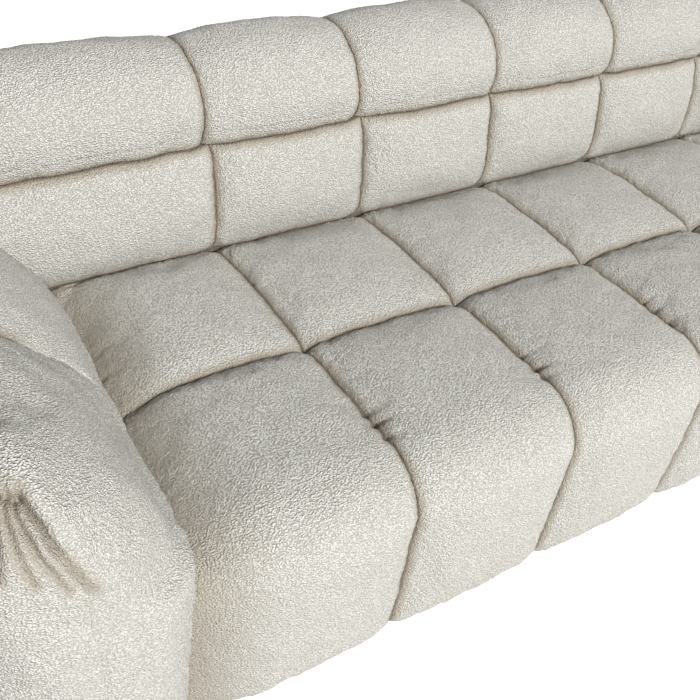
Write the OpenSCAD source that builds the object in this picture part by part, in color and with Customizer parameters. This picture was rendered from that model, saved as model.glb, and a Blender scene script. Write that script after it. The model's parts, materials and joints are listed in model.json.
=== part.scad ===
// Long tufted sofa: a sprung wooden frame, foam, and quilted pads that roll over the
// front edge, the arms and the top of the back. Floor at z = 0, front towards -Y.

/* [Tufting] */
// Width of one tufted column
tuft_w = 300; // [250:5:340]
// Number of tufted columns between the arms
columns = 6; // [3:1:6]
// Height of a pad's crown above the pits at its corners
pad_crown = 42; // [30:1:50]
// Rise of a seam's middle above the pits
seam_rise = 13; // [6:1:18]
// Thickness of the quilted wadding under the pits
wadding_t = 30; // [20:1:34]

/* [Seat] */
// Height of the seat's pits above the floor
seat_h = 372; // [350:1:410]
// Depth of the rear row of seat tufts
rear_row_d = 310; // [280:5:360]
// Distance from the middle seam to the pits of the front face
front_row_d = 306; // [280:1:340]
// Radius of the front edge, at the pits
front_edge_r = 66; // [50:1:90]
// Thickness of the seat's foam
seat_foam_t = 120; // [90:1:130]
// Thickness of the foam on the front rail
front_foam_t = 28; // [15:1:35]
// Thickness of the felt over the springs
decking_t = 4; // [2:0.5:6]

/* [Back] */
// Height of the back's crown above the floor
back_h = 720; // [690:1:780]
// Height of the lower row of tufts, above the seat's pits
lower_row_h = 188; // [170:1:215]
// Lean of the back from upright, in degrees
back_lean = 9; // [5:0.5:11]
// Thickness of the back at the seat, between its pits in front and behind
back_t = 222; // [215:1:260]
// Height of the rounded top, at the pits
back_round_h = 90; // [70:1:92]
// Crown of the pads behind the back
rear_crown = 20; // [10:1:30]
// Wadding of the pads behind the back
rear_wadding_t = 18; // [12:1:25]
// How far the upper pads reach down behind the back, below the rounded top
upper_row_drop = 68; // [40:1:120]
// Thickness of the back's foam
back_foam_t = 50; // [35:1:60]
// Thickness of the panel behind the back
rear_panel_t = 26; // [15:1:34]
// Thickness of the cheeks at the ends of the back
end_panel_t = 24; // [15:1:34]
// Width of the end tufts of the back, behind the arms
end_tuft_w = 146; // [120:1:180]

/* [Arms] */
// Width of each arm
arm_w = 320; // [300:5:360]
// Height of the arm's crown above the floor
arm_h = 640; // [605:1:650]
// Crown at the foot of the arm's inner pads, beside the seat
inner_foot_crown = 16; // [8:1:30]
// How far the front of the arm's inside stands back from the seat
front_set_back = 26; // [0:1:30]
// Distance from the arm's outside to the seam on top of the arm
arm_seam_inset = 101; // [90:1:120]
// Crown of the pads on the outside of the arm
outer_crown = 24; // [15:1:30]
// Height of the rounding outside the arm's top seam, as a share of the seam's height
arm_round_share = 0.54; // [0.42:0.01:0.6]
// Height of the lower seam outside the arm, below the seat's pits
outer_seam_drop = 60; // [30:1:90]
// Thickness of the arm's foam
arm_foam_t = 28; // [18:1:32]

/* [Frame] */
// Height of the upholstery's bottom edge above the floor
hem_h = 51; // [45:1:55]
// Height of the frame's underside above the floor
frame_h = 60; // [58:1:70]
// Thickness of the seat frame's rails
rail_t = 28; // [22:1:34]
// Height of the cross rails
cross_rail_h = 70; // [50:1:90]
// Width of the cross rails
cross_rail_w = 60; // [58:1:80]
// Thickness of the boards in the arms and of the posts
board_t = 18; // [15:1:25]
// Thickness of the boards under the arms
base_board_t = 15; // [12:1:20]
// Height of the rails along the arms and on the back
long_rail_h = 60; // [40:1:80]
// Thickness of the rails along the arms and on the back
long_rail_t = 22; // [18:1:28]
// Side of the corner blocks
block_w = 80; // [60:1:100]

/* [Springs and webbing] */
// Thickness of the springs' wire
wire_t = 4; // [3:0.5:5]
// Width of a spring
spring_w = 46; // [40:1:55]
// Distance between the bars of a spring
spring_pitch = 30; // [25:1:40]
// Springs under each tufted column
springs_per_column = 2; // [1:1:2]
// Thickness of the webbing on the back
webbing_t = 3; // [2:0.5:4]
// Width of a web
webbing_w = 60; // [40:1:70]

/* [Feet] */
// Radius of a foot at its top
foot_top_r = 29; // [26:1:32]
// Radius of a foot at the floor
foot_r = 24; // [20:1:28]
// Distance of the outer feet from the seat's ends
foot_x = 150; // [120:1:180]
// Distance of the front feet behind the pits of the front face
front_foot_y = 116; // [90:1:140]
// Distance of the rear feet in front of the back's rear
rear_foot_y = 190; // [160:1:210]
// Radius of the studs in the feet
stud_r = 4; // [3:0.5:5]
// Depth of a stud in its foot
stud_depth = 25; // [18:1:35]

/* [Hidden] */

// Overrun of every cut past the faces that it opens
cut = 1;
// Clearance of soft pieces that lie against each other
soft_gap = 0.3;
// Clearance of a stud in its bore
stud_gap = 0.2;
// Clearance round a foot in the dust cover
foot_gap = 1;
// Thickness of the dust cover
dust_cover_t = 2;
// Height of a spring clip above the rail
clip_h = 6;
// Length and width of a spring clip
clip_l = 20;
clip_w = 58;
// Clearance of the spring's wire in its clip
clip_gap = 0.3;
// Fabric, wood and metal colours
boucle = [0.89, 0.87, 0.83];
foam_colour = [0.93, 0.89, 0.72];
wood = [0.76, 0.62, 0.44];
steel = [0.55, 0.56, 0.58];
dark_cloth = [0.10, 0.10, 0.10];
dark_wood = [0.16, 0.12, 0.10];

// Widths and places from the driving sizes
seat_w = columns * tuft_w;
half_seat = seat_w / 2;
half_sofa = half_seat + arm_w;
half_back = half_sofa - end_panel_t;
lean_rate = tan(back_lean);
lean_wadding = wadding_t / cos(back_lean);
back_rear_y = rear_row_d + back_t;
front_y = -front_row_d - pad_crown;
middle_seam_y = -(front_y + back_rear_y + rear_crown) / 2;
front_inner_y = -front_row_d + wadding_t;
front_rail_y = front_inner_y + front_foam_t;
pad_floor_h = seat_h - wadding_t;
deck_h = pad_floor_h - seat_foam_t - decking_t;
rail_top_h = deck_h - clip_h;
rear_inner_y = back_rear_y - rear_wadding_t;
crest_h = back_h - pad_crown;
crest_inner_h = crest_h - wadding_t;
round_start_h = crest_h - back_round_h;
upper_row_end_h = round_start_h - upper_row_drop;
arm_rear_y = rear_row_d - pad_crown - soft_gap;
arm_seam_x = arm_w - arm_seam_inset;
arm_seam_z = arm_h - pad_crown - seat_h;
arm_round_h = arm_seam_z * arm_round_share;
arm_side_x = arm_w - outer_crown;
arm_core_x = arm_side_x - wadding_t;
arm_board_x = arm_core_x - arm_foam_t;
post_front_y = foam_rear_y(pad_floor_h) + webbing_t / cos(back_lean);

// Shares of a pad's width and length at which its skin is sampled
column_shares = [0, 0.03, 0.09, 0.22, 0.5, 0.78, 0.91, 0.97, 1];
row_shares = [0, 0.045, 0.14, 0.3, 0.5, 0.7, 0.86, 0.955, 1];
long_row_shares = [0, 0.025, 0.08, 0.2, 0.38, 0.44, 0.5, 0.56, 0.62, 0.78, 0.92, 0.975, 1];
over_row_shares = [0, 0.03, 0.1, 0.2, 0.3, 0.43, 0.5, 0.6, 0.7, 0.8, 0.92, 0.975, 1];
// Shape of a crown: how square it is along short and long pads, and how it falls at
// a sewn seam and at a crease against another cushion
short_power = 3.5;
long_power = 6;
seam_fall = 0.5;
crease_fall = 1;
// At a crease the skin's edge dips by this share of the seams' rise
crease_dip_share = 0.1;
// Shape of the arm's inner curve, between a straight slope (1) and an ellipse (2)
arm_curve_power = 1.12;
// Height above the seat's pits, and length along the arm, over which its front sets back
set_back_rise = 24;
set_back_run = 60;
// Step for finding a curve's direction, as a share of the curve
step_share = 0.001;

// Edge kinds of a pad: [crown power, fall at start, fall at end, seam rise at start, at end]
function sewn(power) = [power, seam_fall, seam_fall, 1, 1];
function creased_start(power) = [power, crease_fall, seam_fall, -crease_dip_share, 1];
function creased_end(power) = [power, seam_fall, crease_fall, 1, -crease_dip_share];

function edge_crown(s, kind) =
    pow(1 - pow(abs(1 - 2 * s), kind[0]), s < 0.5 ? kind[1] : kind[2]);

function edge_seam(s, kind) = s < 0.5 ? kind[3] : kind[4];

// Rise of the skin above the pits at shares s and t of a pad with the given crown
function pad_rise(s, t, row, column, crown) =
    let (p = edge_crown(s, row), q = edge_crown(t, column),
        rise = min(seam_rise, crown),
        seams = p * (1 - q) * edge_seam(t, column) + q * (1 - p) * edge_seam(s, row))
    rise * (seams + p * q) + (crown - rise) * p * q;

// Point of a curve with the share s, pushed out by a distance
function pushed(curve, s, out) =
    let (p = curve(s), a = curve(max(0, s - step_share)), b = curve(min(1, s + step_share)),
        d = (b - a) / norm(b - a))
    [p[0] - d[1] * out, p[1] + d[0] * out];

// Solid through rings of equally many points, closed at both ends
module loft(rings) {
    n = len(rings[0]);
    last = (len(rings) - 1) * n;
    sides = [for (i = [0 : n : last - n], j = [0 : n - 1])
        let (k = (j + 1) % n)
        each [[i + j, i + k, i + n + k], [i + j, i + n + k, i + n + j]]];
    ends = [[for (j = [n - 1 : -1 : 0]) j], [for (j = [0 : n - 1]) last + j]];
    polyhedron([for (ring = rings) each ring], concat(sides, ends), convexity = 8);
}

// Extrusions of an outline from a to b along the sofa and across it
module along_x(a, b) {
    translate([a, 0, 0]) rotate([90, 0, 90]) linear_extrude(b - a) children();
}

module along_y(a, b) {
    translate([0, b, 0]) rotate([90, 0, 0]) linear_extrude(b - a) children();
}

// Box between two corners
module block(a, b) {
    translate(a) cube(b - a);
}

// The drawing has the middle seam of the seat at y = 0; this moves it to its place
module place() {
    translate([0, middle_seam_y, 0]) children();
}

// The right arm is drawn once, from the seat's end outwards
module right_side() {
    place() translate([half_seat, 0, 0]) children();
}

module left_side() {
    mirror([1, 0, 0]) right_side() children();
}

// Columns of tufts: [start, end, edge kind]
function seat_column(i) = [-half_seat + i * tuft_w, -half_seat + (i + 1) * tuft_w,
    i == 0 ? creased_start(short_power) : i == columns - 1 ? creased_end(short_power)
    : sewn(short_power)];

seat_columns = [for (i = [0 : columns - 1]) seat_column(i)];
back_seams = [-half_back, -half_back + end_tuft_w,
    for (i = [1 : columns - 1]) -half_seat + i * tuft_w,
    half_back - end_tuft_w, half_back];
back_columns = [for (i = [0 : len(back_seams) - 2])
    [back_seams[i], back_seams[i + 1], sewn(short_power)]];

// Stations along columns, without doubling the seam that two columns share
function stations(cols) = [for (i = [0 : len(cols) - 1], t = column_shares)
    if (t > 0 || i == 0)
    [cols[i][0] + t * (cols[i][1] - cols[i][0]), t, cols[i][2]]];

// Crown that goes from a to b between two shares of a row
function turning_crown(a, b, s, s_a, s_b) = a + (b - a) * min(1, max(0, (s - s_a) / (s_b - s_a)));

even_crown = function (s) pad_crown;
over_crown = function (s) turning_crown(pad_crown, rear_crown, s, 0.45, 0.7);
arm_inner_crown = function (s) turning_crown(inner_foot_crown, pad_crown, s, 0.1, 0.55);
arm_top_crown = function (s) turning_crown(pad_crown, outer_crown, s, 0, 0.5);

// Row of tufts: the skin follows a curve, and the inner points close it
module tufted_row(cols, curve, shares, row, crown, inner_points) {
    loft([for (st = stations(cols))
        [for (p = concat(
            [for (s = shares) pushed(curve, s, pad_rise(s, st[1], row, st[2], crown(s)))],
            inner_points))
            [st[0], p[0], p[1]]]]);
}

// Curves of the pits in y and z, from the front hem to the rear
seat_rear_curve = function (s) [rear_row_d * s, seat_h];

front_flat = front_row_d - front_edge_r;
front_arc = front_edge_r * PI / 2;
front_drop = seat_h - front_edge_r - hem_h;
seat_front_curve = function (s)
    let (d = (1 - s) * (front_flat + front_arc + front_drop),
        a = min(90, max(0, (d - front_flat) / front_arc * 90)))
    [-min(d, front_flat) - front_edge_r * sin(a),
    seat_h - front_edge_r * (1 - cos(a)) - max(0, d - front_flat - front_arc)];

function back_face_y(z) = rear_row_d + (z - seat_h) * lean_rate;
function foam_rear_y(z) = back_face_y(z) + lean_wadding + back_foam_t / cos(back_lean);

back_lower_curve = function (s)
    let (z = seat_h + lower_row_h * s)
    [back_face_y(z), z];

upper_start_h = seat_h + lower_row_h;
round_front_y = back_face_y(round_start_h);
round_half_t = (back_rear_y - round_front_y) / 2;
upper_front_l = round_start_h - upper_start_h;
upper_arc_l = PI * (round_half_t + back_round_h) / 2;
upper_l = upper_front_l + upper_arc_l + upper_row_drop;
back_upper_curve = function (s)
    let (d = s * upper_l,
        a = min(180, max(0, (d - upper_front_l) / upper_arc_l * 180)),
        below = max(0, upper_front_l - d))
    [round_front_y + round_half_t * (1 - cos(a)) - below * lean_rate,
    round_start_h + back_round_h * sin(a) - below - max(0, d - upper_front_l - upper_arc_l)];

// Curves of the arm's pits, in distance from the seat's end and z, from the seat outwards
arm_inner_curve = function (s)
    [arm_seam_x * (1 - pow(cos(s * 90), 2 / arm_curve_power)),
    seat_h + arm_seam_z * pow(sin(s * 90), 2 / arm_curve_power)];

arm_round_w = arm_side_x - arm_seam_x;
arm_round_l = PI * (arm_round_w + arm_round_h) / 4;
arm_outer_l = arm_seam_z - arm_round_h + outer_seam_drop;
arm_top_curve = function (s)
    let (d = s * (arm_round_l + arm_outer_l), a = min(90, d / arm_round_l * 90))
    [arm_seam_x + arm_round_w * sin(a),
    seat_h + arm_seam_z - arm_round_h * (1 - cos(a)) - max(0, d - arm_round_l)];

arm_side_curve = function (s)
    [arm_side_x, seat_h - outer_seam_drop - s * (seat_h - outer_seam_drop - hem_h)];

// Rise of an arm's section at a share t along a tuft
function arm_section(t, column) = concat(
    [[0, seat_h]],
    [for (s = row_shares) if (s > 0)
        pushed(arm_inner_curve, s,
            pad_rise(s, t, creased_start(short_power), column, arm_inner_crown(s)))],
    [for (s = row_shares) if (s > 0)
        pushed(arm_top_curve, s, pad_rise(s, t, sewn(short_power), column, arm_top_crown(s)))],
    [for (s = row_shares) if (s > 0)
        pushed(arm_side_curve, s, pad_rise(s, t, sewn(short_power), column, outer_crown))],
    [[0, hem_h]]);

// Section whose inside is set back from the seat, at a place y in front of the middle seam
function set_back(section, y) = [for (p = section)
    let (share = min(1, -y / set_back_run) * min(1, max(0, (p[1] - seat_h) / set_back_rise)))
    [p[0] + front_set_back * share * max(0, 1 - p[0] / arm_seam_x), p[1]]];

// Section drawn in towards the middle of the arm's front face
function drawn_in(section, inset) =
    let (kx = 1 - 2 * inset / arm_w, kz = 1 - inset / (arm_h - hem_h))
    [for (p = section) [arm_w / 2 + (p[0] - arm_w / 2) * kx, hem_h + (p[1] - hem_h) * kz]];

// The arm's front tuft runs on over the rounded front end
arm_end_r = front_edge_r + pad_crown;
arm_end_angles = [0, 15, 30, 45, 60, 75, 90];
arm_rear_rings = [for (t = column_shares) if (t < 1)
    [for (p = arm_section(t, creased_start(short_power)))
        [p[0], rear_row_d * (1 - t), p[1]]]];
arm_front_rings = [for (t = column_shares) if (t <= 0.5)
    let (y = -2 * t * front_flat)
    [for (p = set_back(arm_section(t, sewn(short_power)), y)) [p[0], y, p[1]]]];
arm_end_rings = [for (a = arm_end_angles) if (a > 0)
    let (y = -front_flat - arm_end_r * sin(a))
    [for (p = drawn_in(set_back(arm_section(0.5, sewn(short_power)), y), arm_end_r * (1 - cos(a))))
        [p[0], y, p[1]]]];

// Outline inside the arm's pads, at a depth under the pits
arm_inner_shares = [0.2, 0.35, 0.5, 0.65];
arm_top_shares = [0.15, 0.25, 0.35, 0.45];
function arm_core(depth, bottom, inner_x) = concat(
    [[inner_x, bottom], [inner_x, pad_floor_h - depth / 2]],
    [for (s = arm_inner_shares) pushed(arm_inner_curve, s, -depth)],
    [for (s = arm_top_shares) pushed(arm_top_curve, s, -depth)],
    [[arm_side_x - depth, bottom]]);

// Outline inside the arm's foam: the pads' inside, drawn in by the foam's thickness
foam_kx = 1 - arm_foam_t / arm_core_x;
foam_kz = 1 - arm_foam_t / (arm_h - wadding_t - frame_h);
function in_foam(points) = [for (p = points) [p[0] * foam_kx, frame_h + (p[1] - frame_h) * foam_kz]];

// Pads of the right arm, with room inside for the foam and frame
module arm_pads() {
    difference() {
        loft(concat(arm_rear_rings, arm_front_rings, arm_end_rings));
        along_y(front_inner_y, rear_row_d + cut) polygon(arm_core(wadding_t, hem_h - cut, -cut));
        back_side_cut();
    }
}

// Space in front of which the arm's rear end stops, leaning with the back
module back_side_cut() {
    reach = rear_row_d + pad_crown;
    along_x(-cut, arm_w + outer_crown) polygon([[arm_rear_y, hem_h - cut],
        [arm_rear_y, seat_h], [arm_rear_y + (arm_h - seat_h) * lean_rate, arm_h],
        [reach, arm_h + pad_crown], [reach, hem_h - cut]]);
}

module arm_foam() {
    difference() {
        along_y(front_inner_y, arm_rear_y) difference() {
            polygon(arm_core(wadding_t, frame_h, 0));
            polygon(in_foam(arm_core(wadding_t, frame_h - cut, -cut)));
        }
        back_side_cut();
    }
}

module arm_board(y) {
    along_y(y, y + board_t)
        intersection() {
            polygon(in_foam(arm_core(wadding_t, frame_h, 0)));
            translate([0, stud_top_h]) square([arm_w, arm_h]);
        }
}

arm_front_board_y = front_inner_y;
arm_rear_board_y = arm_rear_y - board_t;
arm_rail_corner = in_foam([pushed(arm_inner_curve, max(arm_inner_shares), -wadding_t)])[0];

// Rail whose upper inside edge lies along the foam
module arm_top_rail() {
    block([arm_rail_corner[0], arm_front_board_y + board_t, arm_rail_corner[1] - long_rail_h],
        [arm_rail_corner[0] + long_rail_t, arm_rear_board_y, arm_rail_corner[1]]);
}

module arm_outer_rail() {
    block([arm_board_x - long_rail_t, arm_front_board_y + board_t, stud_top_h],
        [arm_board_x, arm_rear_board_y, stud_top_h + long_rail_h]);
}

module arm_base() {
    difference() {
        block([0, front_inner_y, frame_h], [arm_board_x, post_front_y, frame_h + base_board_t]);
        for (y = foot_rows) stud_bore([foot_x, y]);
    }
}

// Feet and their studs
foot_rows = [-front_row_d + front_foot_y, back_rear_y - rear_foot_y];
stud_top_h = frame_h + base_board_t;

module stud_bore(at) {
    translate([at[0], at[1], frame_h - stud_depth]) cylinder(h = stud_top_h + cut - frame_h + stud_depth,
        r = stud_r + stud_gap, $fn = 32);
}

module foot(x, y) {
    color(dark_wood) place() difference() {
        translate([x, y, 0]) cylinder(h = frame_h, r1 = foot_r, r2 = foot_top_r, $fn = 64);
        stud_bore([x, y]);
    }
}

foot_columns = [-half_seat - foot_x, 0, half_seat + foot_x];

module foot_studs() {
    color(steel) place() for (x = foot_columns, y = foot_rows)
        translate([x, y, frame_h - stud_depth])
            cylinder(h = stud_top_h - frame_h + stud_depth, r = stud_r, $fn = 32);
}

module left_front_foot() foot(foot_columns[0], foot_rows[0]);
module left_rear_foot() foot(foot_columns[0], foot_rows[1]);
module middle_front_foot() foot(foot_columns[1], foot_rows[0]);
module middle_rear_foot() foot(foot_columns[1], foot_rows[1]);
module right_front_foot() foot(foot_columns[2], foot_rows[0]);
module right_rear_foot() foot(foot_columns[2], foot_rows[1]);

// Quilted pads
module seat_rear_pads() {
    color(boucle) place() tufted_row(seat_columns, seat_rear_curve, row_shares,
        creased_end(short_power), even_crown,
        [[rear_row_d, pad_floor_h], [0, pad_floor_h]]);
}

module seat_front_pads() {
    color(boucle) place() tufted_row(seat_columns, seat_front_curve, long_row_shares,
        sewn(long_power), even_crown,
        [[0, pad_floor_h], [front_inner_y, pad_floor_h], [front_inner_y, hem_h]]);
}

module back_lower_pads() {
    color(boucle) place() tufted_row(back_columns, back_lower_curve, row_shares,
        creased_start(short_power), even_crown,
        [[back_face_y(upper_start_h) + lean_wadding, upper_start_h],
        [back_face_y(pad_floor_h) + lean_wadding, pad_floor_h], [rear_row_d, pad_floor_h]]);
}

module back_upper_pads() {
    color(boucle) place() tufted_row(back_columns, back_upper_curve, over_row_shares,
        sewn(long_power), over_crown,
        [[rear_inner_y, upper_row_end_h], [rear_inner_y, crest_inner_h],
        [back_face_y(crest_inner_h) + lean_wadding, crest_inner_h],
        [back_face_y(upper_start_h) + lean_wadding, upper_start_h]]);
}

module right_arm_pads() color(boucle) right_side() arm_pads();
module left_arm_pads() color(boucle) left_side() arm_pads();

module back_outer_panel() {
    color(boucle) place() block([-half_back, rear_inner_y, hem_h],
        [half_back, rear_inner_y + rear_panel_t, upper_row_end_h]);
}

// Steps along the top of a cheek
end_steps = 24;

// Cheek at the end of the back: in front it meets the arm, above it follows the pads
module end_panel() {
    arm_top_y = arm_rear_y + soft_gap + (arm_h - pad_crown - seat_h) * lean_rate;
    along_x(half_back, half_sofa) polygon(concat(
        [[arm_rear_y + soft_gap, hem_h], [arm_rear_y + soft_gap, seat_h],
        [arm_top_y, arm_h - pad_crown], [back_face_y(arm_h), arm_h]],
        [for (i = [0 : end_steps]) let (p = back_upper_curve(i / end_steps)) if (p[1] > arm_h) p],
        [[back_rear_y, upper_row_end_h], [rear_inner_y + rear_panel_t, upper_row_end_h],
        [rear_inner_y + rear_panel_t, hem_h]]));
}

module right_back_end_panel() color(boucle) place() end_panel();
module left_back_end_panel() color(boucle) place() mirror([1, 0, 0]) end_panel();

// Foam and felt
module seat_foam() {
    color(foam_colour) place() block([-half_seat, front_inner_y, deck_h + decking_t],
        [half_seat, post_front_y, pad_floor_h]);
}

module front_foam() {
    color(foam_colour) place() block([-half_seat, front_inner_y, frame_h],
        [half_seat, front_rail_y, deck_h + decking_t]);
}

module back_foam() {
    color(foam_colour) place() along_x(-half_back, half_back) polygon([
        [back_face_y(pad_floor_h) + lean_wadding, pad_floor_h],
        [back_face_y(crest_inner_h) + lean_wadding, crest_inner_h],
        [foam_rear_y(crest_inner_h), crest_inner_h], [foam_rear_y(pad_floor_h), pad_floor_h]]);
}

module right_arm_foam() color(foam_colour) right_side() arm_foam();
module left_arm_foam() color(foam_colour) left_side() arm_foam();

module seat_decking() {
    color(dark_cloth) place() block([-half_seat, front_rail_y, deck_h],
        [half_seat, post_front_y, deck_h + decking_t]);
}

// Springs, from the front rail to the back rail
spring_count = columns * springs_per_column;
spring_gap_w = seat_w / spring_count;
spring_xs = [for (i = [0 : spring_count - 1]) -half_seat + (i + 0.5) * spring_gap_w];
spring_start_y = front_rail_y + rail_t / 2;
spring_end_y = post_front_y - rail_t / 2;
bar_gaps = floor((spring_end_y - spring_start_y) / spring_pitch);
bar_step = (spring_end_y - spring_start_y) / bar_gaps;

module spring_outline() {
    for (i = [0 : bar_gaps])
        translate([-spring_w / 2, spring_start_y + i * bar_step - wire_t / 2])
            square([spring_w, wire_t]);
    for (i = [0 : bar_gaps - 1])
        translate([(i % 2 == 0 ? spring_w / 2 - wire_t : -spring_w / 2),
            spring_start_y + i * bar_step - wire_t / 2])
            square([wire_t, bar_step + wire_t]);
}

module seat_springs() {
    color(steel) place() for (x = spring_xs)
        translate([x, 0, rail_top_h]) linear_extrude(wire_t) spring_outline();
}

module spring_clips() {
    color(steel) place() for (x = spring_xs, y = [spring_start_y, spring_end_y])
        translate([x, y, rail_top_h]) difference() {
            translate([-clip_w / 2, -clip_l / 2, 0]) cube([clip_w, clip_l, clip_h]);
            translate([-spring_w / 2 - clip_gap, -clip_l / 2 - cut, -cut])
                cube([spring_w + 2 * clip_gap, clip_l + 2 * cut, wire_t + clip_gap + cut]);
        }
}

// Webs across the posts, at even heights
web_count = 3;

module back_webbing() {
    web_room = crest_inner_h - pad_floor_h;
    color(dark_cloth) place() for (i = [0 : web_count - 1]) {
        z = pad_floor_h + (i + 0.5) * web_room / web_count;
        z0 = z - webbing_w / 2;
        z1 = z + webbing_w / 2;
        t = webbing_t / cos(back_lean);
        along_x(-half_back, half_back) polygon([[foam_rear_y(z0), z0], [foam_rear_y(z1), z1],
            [foam_rear_y(z1) + t, z1], [foam_rear_y(z0) + t, z0]]);
    }
}

// Seat frame
module front_rail() {
    color(wood) place() block([-half_seat, front_rail_y, frame_h],
        [half_seat, front_rail_y + rail_t, rail_top_h]);
}

module back_rail() {
    color(wood) place() block([-half_seat, post_front_y - rail_t, frame_h],
        [half_seat, post_front_y, rail_top_h]);
}

module end_rail(x) {
    color(wood) place() block([x, front_rail_y + rail_t, frame_h],
        [x + rail_t, post_front_y - rail_t, rail_top_h]);
}

module left_end_rail() end_rail(-half_seat);
module right_end_rail() end_rail(half_seat - rail_t);

module cross_rail(x) {
    color(wood) place() difference() {
        block([x - cross_rail_w / 2, front_rail_y + rail_t, frame_h],
            [x + cross_rail_w / 2, post_front_y - rail_t, frame_h + cross_rail_h]);
        if (x == 0) for (y = foot_rows) stud_bore([x, y]);
    }
}

module left_cross_rail() cross_rail(-half_seat / 2);
module middle_cross_rail() cross_rail(0);
module right_cross_rail() cross_rail(half_seat / 2);

module corner_blocks() {
    inner_x = half_seat - rail_t;
    ends = [[front_rail_y + rail_t, 1], [post_front_y - rail_t, -1]];
    color(wood) place() for (side = [-1, 1], end = ends)
        translate([0, 0, frame_h]) linear_extrude(rail_top_h - frame_h)
            polygon([[side * inner_x, end[0]], [side * (inner_x - block_w), end[0]],
                [side * inner_x, end[0] + end[1] * block_w]]);
}

// Arm frames
module right_arm_base() color(wood) right_side() arm_base();
module left_arm_base() color(wood) left_side() arm_base();
module right_arm_front_board() color(wood) right_side() arm_board(arm_front_board_y);
module left_arm_front_board() color(wood) left_side() arm_board(arm_front_board_y);
module right_arm_rear_board() color(wood) right_side() arm_board(arm_rear_board_y);
module left_arm_rear_board() color(wood) left_side() arm_board(arm_rear_board_y);
module right_arm_top_rail() color(wood) right_side() arm_top_rail();
module left_arm_top_rail() color(wood) left_side() arm_top_rail();
module right_arm_outer_rail() color(wood) right_side() arm_outer_rail();
module left_arm_outer_rail() color(wood) left_side() arm_outer_rail();

// Posts of the back
post_top_h = crest_inner_h - long_rail_t;
post_xs = [-half_back, -half_seat + rail_t, -board_t / 2, half_seat - rail_t - board_t,
    half_back - board_t];

module post(x) {
    shift = webbing_t / cos(back_lean);
    color(wood) place() along_x(x, x + board_t) polygon([[post_front_y, frame_h],
        [post_front_y, pad_floor_h], [foam_rear_y(post_top_h) + shift, post_top_h],
        [rear_inner_y, post_top_h], [rear_inner_y, frame_h]]);
}

module left_end_post() post(post_xs[0]);
module left_post() post(post_xs[1]);
module middle_post() post(post_xs[2]);
module right_post() post(post_xs[3]);
module right_end_post() post(post_xs[4]);

module back_top_rail() {
    shift = webbing_t / cos(back_lean);
    color(wood) place() along_x(-half_back, half_back) polygon([
        [foam_rear_y(post_top_h) + shift, post_top_h],
        [foam_rear_y(crest_inner_h) + shift, crest_inner_h],
        [rear_inner_y, crest_inner_h], [rear_inner_y, post_top_h]]);
}

// Cloth under the frame, open round the feet
module dust_cover() {
    color(dark_cloth) place() difference() {
        union() {
            block([-half_seat - arm_core_x, front_inner_y, frame_h - dust_cover_t],
                [half_seat + arm_core_x, rear_inner_y, frame_h]);
            block([-half_back, arm_rear_y, frame_h - dust_cover_t],
                [half_back, rear_inner_y, frame_h]);
        }
        for (x = foot_columns, y = foot_rows)
            translate([x, y, frame_h - dust_cover_t - cut])
                cylinder(h = dust_cover_t + 2 * cut, r = foot_top_r + foot_gap, $fn = 64);
    }
}

seat_rear_pads();
seat_front_pads();
back_lower_pads();
back_upper_pads();
left_arm_pads();
right_arm_pads();
back_outer_panel();
left_back_end_panel();
right_back_end_panel();
seat_foam();
front_foam();
back_foam();
left_arm_foam();
right_arm_foam();
seat_decking();
seat_springs();
spring_clips();
back_webbing();
front_rail();
back_rail();
left_end_rail();
right_end_rail();
left_cross_rail();
middle_cross_rail();
right_cross_rail();
corner_blocks();
left_arm_base();
right_arm_base();
left_arm_front_board();
right_arm_front_board();
left_arm_rear_board();
right_arm_rear_board();
left_arm_top_rail();
right_arm_top_rail();
left_arm_outer_rail();
right_arm_outer_rail();
left_end_post();
left_post();
middle_post();
right_post();
right_end_post();
back_top_rail();
dust_cover();
left_front_foot();
left_rear_foot();
middle_front_foot();
middle_rear_foot();
right_front_foot();
right_rear_foot();
foot_studs();
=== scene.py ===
import json
import math

import bpy
import numpy as np
from bpy.props import FloatProperty, FloatVectorProperty, IntProperty, PointerProperty
from mathutils import Matrix, Vector, noise


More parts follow.
